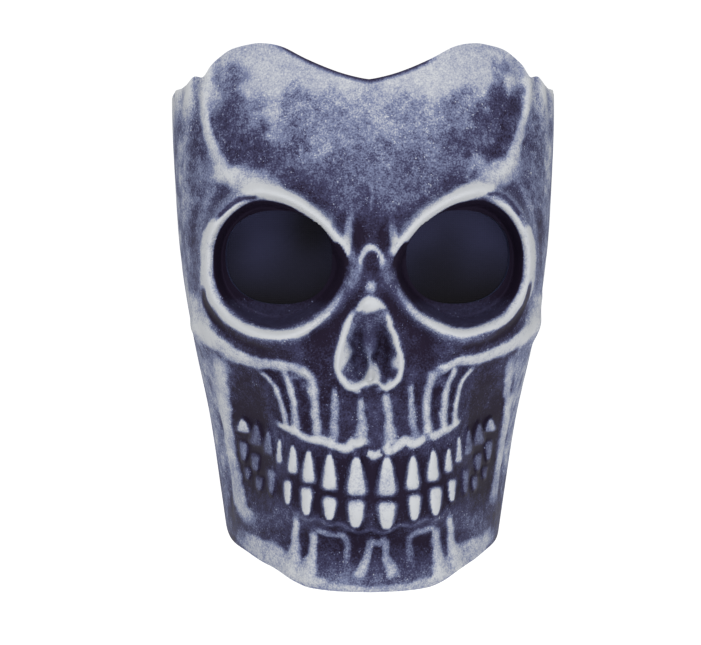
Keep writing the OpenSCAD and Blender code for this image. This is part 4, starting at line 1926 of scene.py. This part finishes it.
def stitch_tree() -> ThreadTree:
    """A tree that lays stitches along paths.

    Returns:
        The tree.
    """
    tree = ThreadTree("stitches", {"Pitch": "Float", "Length": "Float", "Thickness": "Float"})
    line = tree.add("GeometryNodeMeshToCurve", {}, {"Mesh": tree.given("Geometry")})
    rows = tree.add("GeometryNodeResampleCurve", {"mode": "LENGTH"}, {
        "Curve": line, "Length": tree.given("Pitch")})
    tangent = tree.add("GeometryNodeInputTangent")
    turn = tree.add("FunctionNodeAlignRotationToVector", {"axis": "X"}, {"Vector": tangent})
    size = tree.add("ShaderNodeCombineXYZ", {}, {
        "X": tree.given("Length"), "Y": tree.given("Thickness"), "Z": tree.given("Thickness")})
    bead = tree.add("GeometryNodeMeshUVSphere", {}, {"Segments": 8, "Rings": 6, "Radius": 0.5})
    tree.close(tree.add("GeometryNodeInstanceOnPoints", {}, {
        "Points": rows, "Instance": bead, "Rotation": turn, "Scale": size}))
    return tree


def rib_tree() -> ThreadTree:
    """A tree that lays round ribs side by side along a path.

    Returns:
        The tree.
    """
    tree = ThreadTree("ribs", {"Count": "Int", "Spacing": "Float", "Radius": "Float"})
    count, spacing = tree.given("Count"), tree.given("Spacing")
    line = tree.add("GeometryNodeMeshToCurve", {}, {"Mesh": tree.given("Geometry")})
    step = tree.add("ShaderNodeCombineXYZ", {}, {"Y": spacing})
    begin = tree.add("ShaderNodeCombineXYZ", {}, {"Y": (count - 1.0) * spacing * -0.5})
    row = tree.add("GeometryNodeMeshLine", {"mode": "OFFSET"}, {
        "Count": count, "Start Location": begin, "Offset": step})
    laid = tree.add("GeometryNodeInstanceOnPoints", {}, {"Points": row, "Instance": line})
    real = tree.add("GeometryNodeRealizeInstances", {}, {"Geometry": laid})
    ring = tree.add("GeometryNodeCurvePrimitiveCircle", {}, {
        "Resolution": 6, "Radius": tree.given("Radius")})
    tree.close(tree.add("GeometryNodeCurveToMesh", {}, {
        "Curve": real, "Profile Curve": ring, "Fill Caps": True}))
    return tree


@dataclass
class HeadStrap:
    """The ribbed elastic strap that swings on the two studs.

    Attributes:
        width: Its width.
        thick: Thickness of the frame's band.
        drop: How far it hangs below the studs.
        straight: Length below each stud before it starts to curve.
        stud_y: Distance of the studs in front of the rear edge.
        stud_z: Height of the studs.
        hole_r: Radius of the eyelet holes.
        skin: Half the thickness of the core between the ribs.
        ribs: Number of ribs on each face.
        rib_pitch: Distance between them.
        rib_r: Their radius.
        sewn_half: Half the width of the stitched box.
        sewn_z: Depth of its upper and lower row below the studs.
        sewn_off: Distance of the thread from the strap's middle.
        outside: Half the width between the outer faces of the frame's band.
    """

    width: float = 15.0
    thick: float = 1.2
    drop: float = 100.0
    straight: float = 12.0
    stud_y: float = 16.0
    stud_z: float = 40.0
    hole_r: float = 3.75
    skin: float = 0.38
    ribs: int = 12
    rib_pitch: float = 1.18
    rib_r: float = 0.56
    sewn_half: float = 6.0
    sewn_z: tuple[float, float] = (8.5, 20.0)
    sewn_off: float = 0.62
    outside: float = field(default_factory=lambda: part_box("strap_band")[1][0] / MM)

    def line(self, steps: int, top: float) -> Grid:
        """The middle line of the strap in the plane y = 0.

        Args:
            steps: Parts of the curved stretch.
            top: Height of both ends.

        Returns:
            Points.
        """
        half = self.outside - self.thick / 2
        low = self.stud_z - self.straight
        deep = self.drop - self.straight - self.thick / 2
        turn = np.linspace(0, math.pi, steps + 1)
        arc = np.stack([half * np.cos(turn), 0 * turn, low - deep * np.sin(turn)], axis=-1)
        rise = np.linspace(low, top, 9)[1:]
        right = np.stack([0 * rise - half, 0 * rise, rise], axis=-1)
        left = (right + [2 * half, 0, 0])[::-1]
        return np.vstack([left, arc, right])

    def build(self, elastic: Material, thread: Material) -> None:
        """Builds band, ribs and stitches.

        Args:
            elastic: Finish of the band and its ribs.
            thread: Finish of the stitches.
        """
        line = self.line(96, self.stud_z + self.width / 2)
        along = np.gradient(line, axis=0)
        along /= np.linalg.norm(along, axis=1, keepdims=True)
        out = np.cross(np.array([0.0, 1.0, 0.0]), along)
        above = np.maximum(line[:, 2] - self.stud_z, 0)
        half = np.sqrt(np.maximum((self.width / 2) ** 2 - above**2, 0.3))
        across = np.linspace(-1, 1, 13)
        skin = self.skin * (1 - 0.35 * np.abs(across) ** 6)
        place = line[:, None] + np.array([0.0, 1, 0]) * (half[:, None] * across)[..., None]
        place[..., 1] -= self.stud_y
        outer = place - out[:, None] * skin[None, :, None]
        inner = place + out[:, None] * skin[None, :, None]
        points, faces = slab(outer, inner)
        band = mesh_object("elastic_band", points, faces, (elastic,))
        facing_out(band)
        self._punch(band)
        placed(band, "strap", "elastic", "strap_band")
        rib_line = self.line(96, self.stud_z - self.width / 2 - 1)
        rib_line[:, 1] -= self.stud_y
        cords = rib_tree().run("elastic_ribs", [rib_line], {
            "Count": self.ribs, "Spacing": self.rib_pitch * MM, "Radius": self.rib_r * MM,
            "Material": elastic})
        placed(cords, "strap", "elastic")
        self._stitches(thread)

    def _punch(self, band: Piece) -> None:
        """Cuts the eyelet holes.

        Args:
            band: The band.
        """
        turns = np.linspace(0, 2 * math.pi, 48, endpoint=False)
        reach = self.outside + 5
        ring = np.stack([0 * turns, self.hole_r * np.cos(turns) - self.stud_y,
                         self.hole_r * np.sin(turns) + self.stud_z], axis=-1)
        points = np.vstack([ring - [reach, 0, 0], ring + [reach, 0, 0]])
        n = len(turns)
        faces = ring_faces(2, n) + [list(range(n)), list(range(n, 2 * n))]
        punch = mesh_object("punch", points, faces)
        facing_out(punch)
        cut = band.modifiers.new("holes", "BOOLEAN")
        cut.object, cut.operation, cut.solver = punch, "DIFFERENCE", "EXACT"
        applied(band)
        bpy.data.objects.remove(punch)

    def _stitches(self, thread: Material) -> None:
        """Sews a box of stitches below each eyelet.

        Args:
            thread: Finish of the thread.
        """
        x, off = self.outside - self.thick / 2, self.sewn_off
        front, rear = -self.stud_y - self.sewn_half, -self.stud_y + self.sewn_half
        top, low = (self.stud_z - depth for depth in self.sewn_z)
        rows = (((front, top), (rear, top)), ((front, low), (rear, low)),
                ((front, low), (front, top)), ((rear, low), (rear, top)))
        paths = []
        for at in (off - x, -off - x, x - off, x + off):
            for (y0, z0), (y1, z1) in rows:
                paths.append(np.linspace((at, y0, z0), (at, y1, z1), 12))
        sewn = stitch_tree().run("strap_stitches", paths, {
            "Pitch": 2.3 * MM, "Length": 1.7 * MM, "Thickness": 0.42 * MM, "Material": thread})
        placed(sewn, "strap", "elastic")


@dataclass
class Hardware:
    """Studs, eyelets and caps, which keep their frame shapes."""

    parts: tuple = ("strap_stud", "stud_cap", "strap_eyelet")

    def dress(self, steel: Material) -> None:
        """Gives them their finish.

        Args:
            steel: The finish.
        """
        for part in self.parts:
            for side in (Side.LEFT, Side.RIGHT):
                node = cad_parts[f"{part}_{side.word}"]
                node.data.materials.clear()
                node.data.materials.append(steel)
                for polygon in node.data.polygons:
                    polygon.material_index = 0


@dataclass
class Studio:
    """White floor, soft lights and the camera.

    Attributes:
        target: What the camera looks at, in millimetres.
        azimuth: Its turn from straight ahead, in degrees.
        elevation: Its height above level, in degrees.
        distance: Its distance in millimetres.
        focus: Its focal length as a multiple of the picture's width.
        floor_z: Height of the floor in millimetres.
        floor_reach: Half the floor's side in millimetres.
        ambient: Light that the backdrop gives the mask.
        backdrop: Brightness that the camera sees in it.
        lights: Name, place in metres, side in metres and power in watts of each light.
        aim: What the lights look at, in metres.
    """

    target: tuple = (-7.83, -50.0, -29.0)
    azimuth: float = -2.0
    elevation: float = 5.0
    distance: float = 1500.0
    focus: float = 3000.0 / 701
    floor_z: float = -450.0
    floor_reach: float = 6000.0
    ambient: float = 0.6
    backdrop: float = 1.05
    lights: tuple = (("key", (-0.35, -1.1, 1.2), 0.9, 17.0), ("fill", (0.7, -1.5, 0.3), 1.0, 8.0))
    aim: tuple = (0, -0.05, -0.03)

    def build(self) -> None:
        """Builds everything."""
        r = self.floor_reach
        corners = [(-r, -r, self.floor_z), (r, -r, self.floor_z), (r, r, self.floor_z),
                   (-r, r, self.floor_z)]
        mesh_object("studio_floor", corners, [(0, 1, 2, 3)], (PaleFloor().make(),))
        scene = bpy.context.scene
        scene.world = self._backdrop()
        scene.view_settings.view_transform = "Standard"
        for name, place, side, power in self.lights:
            light = bpy.data.lights.new(name, "AREA")
            light.size, light.energy = side, power
            lamp = linked(name, light)
            lamp.location = place
            toward = Vector(self.aim) - Vector(place)
            lamp.rotation_euler = toward.to_track_quat("-Z", "Y").to_euler()
        camera = bpy.data.cameras.new("camera")
        camera.sensor_width = 36.0
        camera.lens = self.focus * camera.sensor_width
        camera.clip_end = 50
        az, el = math.radians(self.azimuth), math.radians(self.elevation)
        back = Vector((math.sin(az) * math.cos(el), -math.cos(az) * math.cos(el), math.sin(el)))
        scene.camera = linked("camera", camera)
        scene.camera.location = Vector(self.target) * MM + back * self.distance * MM
        scene.camera.rotation_euler = back.to_track_quat("Z", "Y").to_euler()

    def _backdrop(self) -> bpy.types.World:
        """A white backdrop that lights the mask more softly than it looks."""
        world = bpy.data.worlds.new("studio")
        world.use_nodes = True
        board = NodeBoard(world.node_tree)
        seen = board.add("ShaderNodeLightPath", output="Is Camera Ray")
        level = board.add("ShaderNodeMapRange", {}, {
            "Value": seen, "To Min": self.ambient, "To Max": self.backdrop})
        back = board.tree.nodes["Background"]
        back.inputs["Color"].default_value = (1, 1, 1, 1)
        board.tree.links.new(level.socket, back.inputs["Strength"])
        return world


def main() -> None:
    """Builds the mask's looks around the frame."""
    logging.basicConfig(level=logging.INFO, format="%(message)s")
    form = SkullForm()
    bare = BareLatex().make()
    patch_cloth = WovenCloth("patch_cloth", (26, 28, 44), (52, 55, 78), 1.5, 0.2).make()
    pad_cloth = WovenCloth("pad_cloth", (34, 34, 38), (66, 66, 72), 1.7, 0.16, 0.9).make()
    elastic = WovenCloth("elastic_core", (14, 14, 17), (44, 44, 50), 0.9, 0.2).make()
    thread = WovenCloth("thread", (40, 40, 46), (96, 96, 102), 0.4, 0.04, 0.6).make()
    Studio().build()
    shell = FaceShell(form, FaceRelief(form)).build(PaintedLatex().make(), bare)
    placed(shell, "mask", "painted_latex", "face_shell")
    gauze = EyeGauze().make()
    glue = BareLatex("glue_bead", (20, 20, 30), (44, 46, 64)).make()
    for side in (Side.LEFT, Side.RIGHT):
        EyeWindow(form, side).build(gauze, glue)
        AnchorPatch(form, side).build(patch_cloth)
        FoamPad(form, f"cheek_cushion_{side.word}", f"cheek_pad_{side.word}", (58, 78), (-39, -5),
                side).build(pad_cloth)
    FoamPad(form, "brow_cushion", "brow_pad", (-40, 40), (53, 79)).build(pad_cloth)
    HeadStrap().build(elastic, thread)
    Hardware().dress(BrushedSteel().make())


if __name__ == "__main__":
    main()
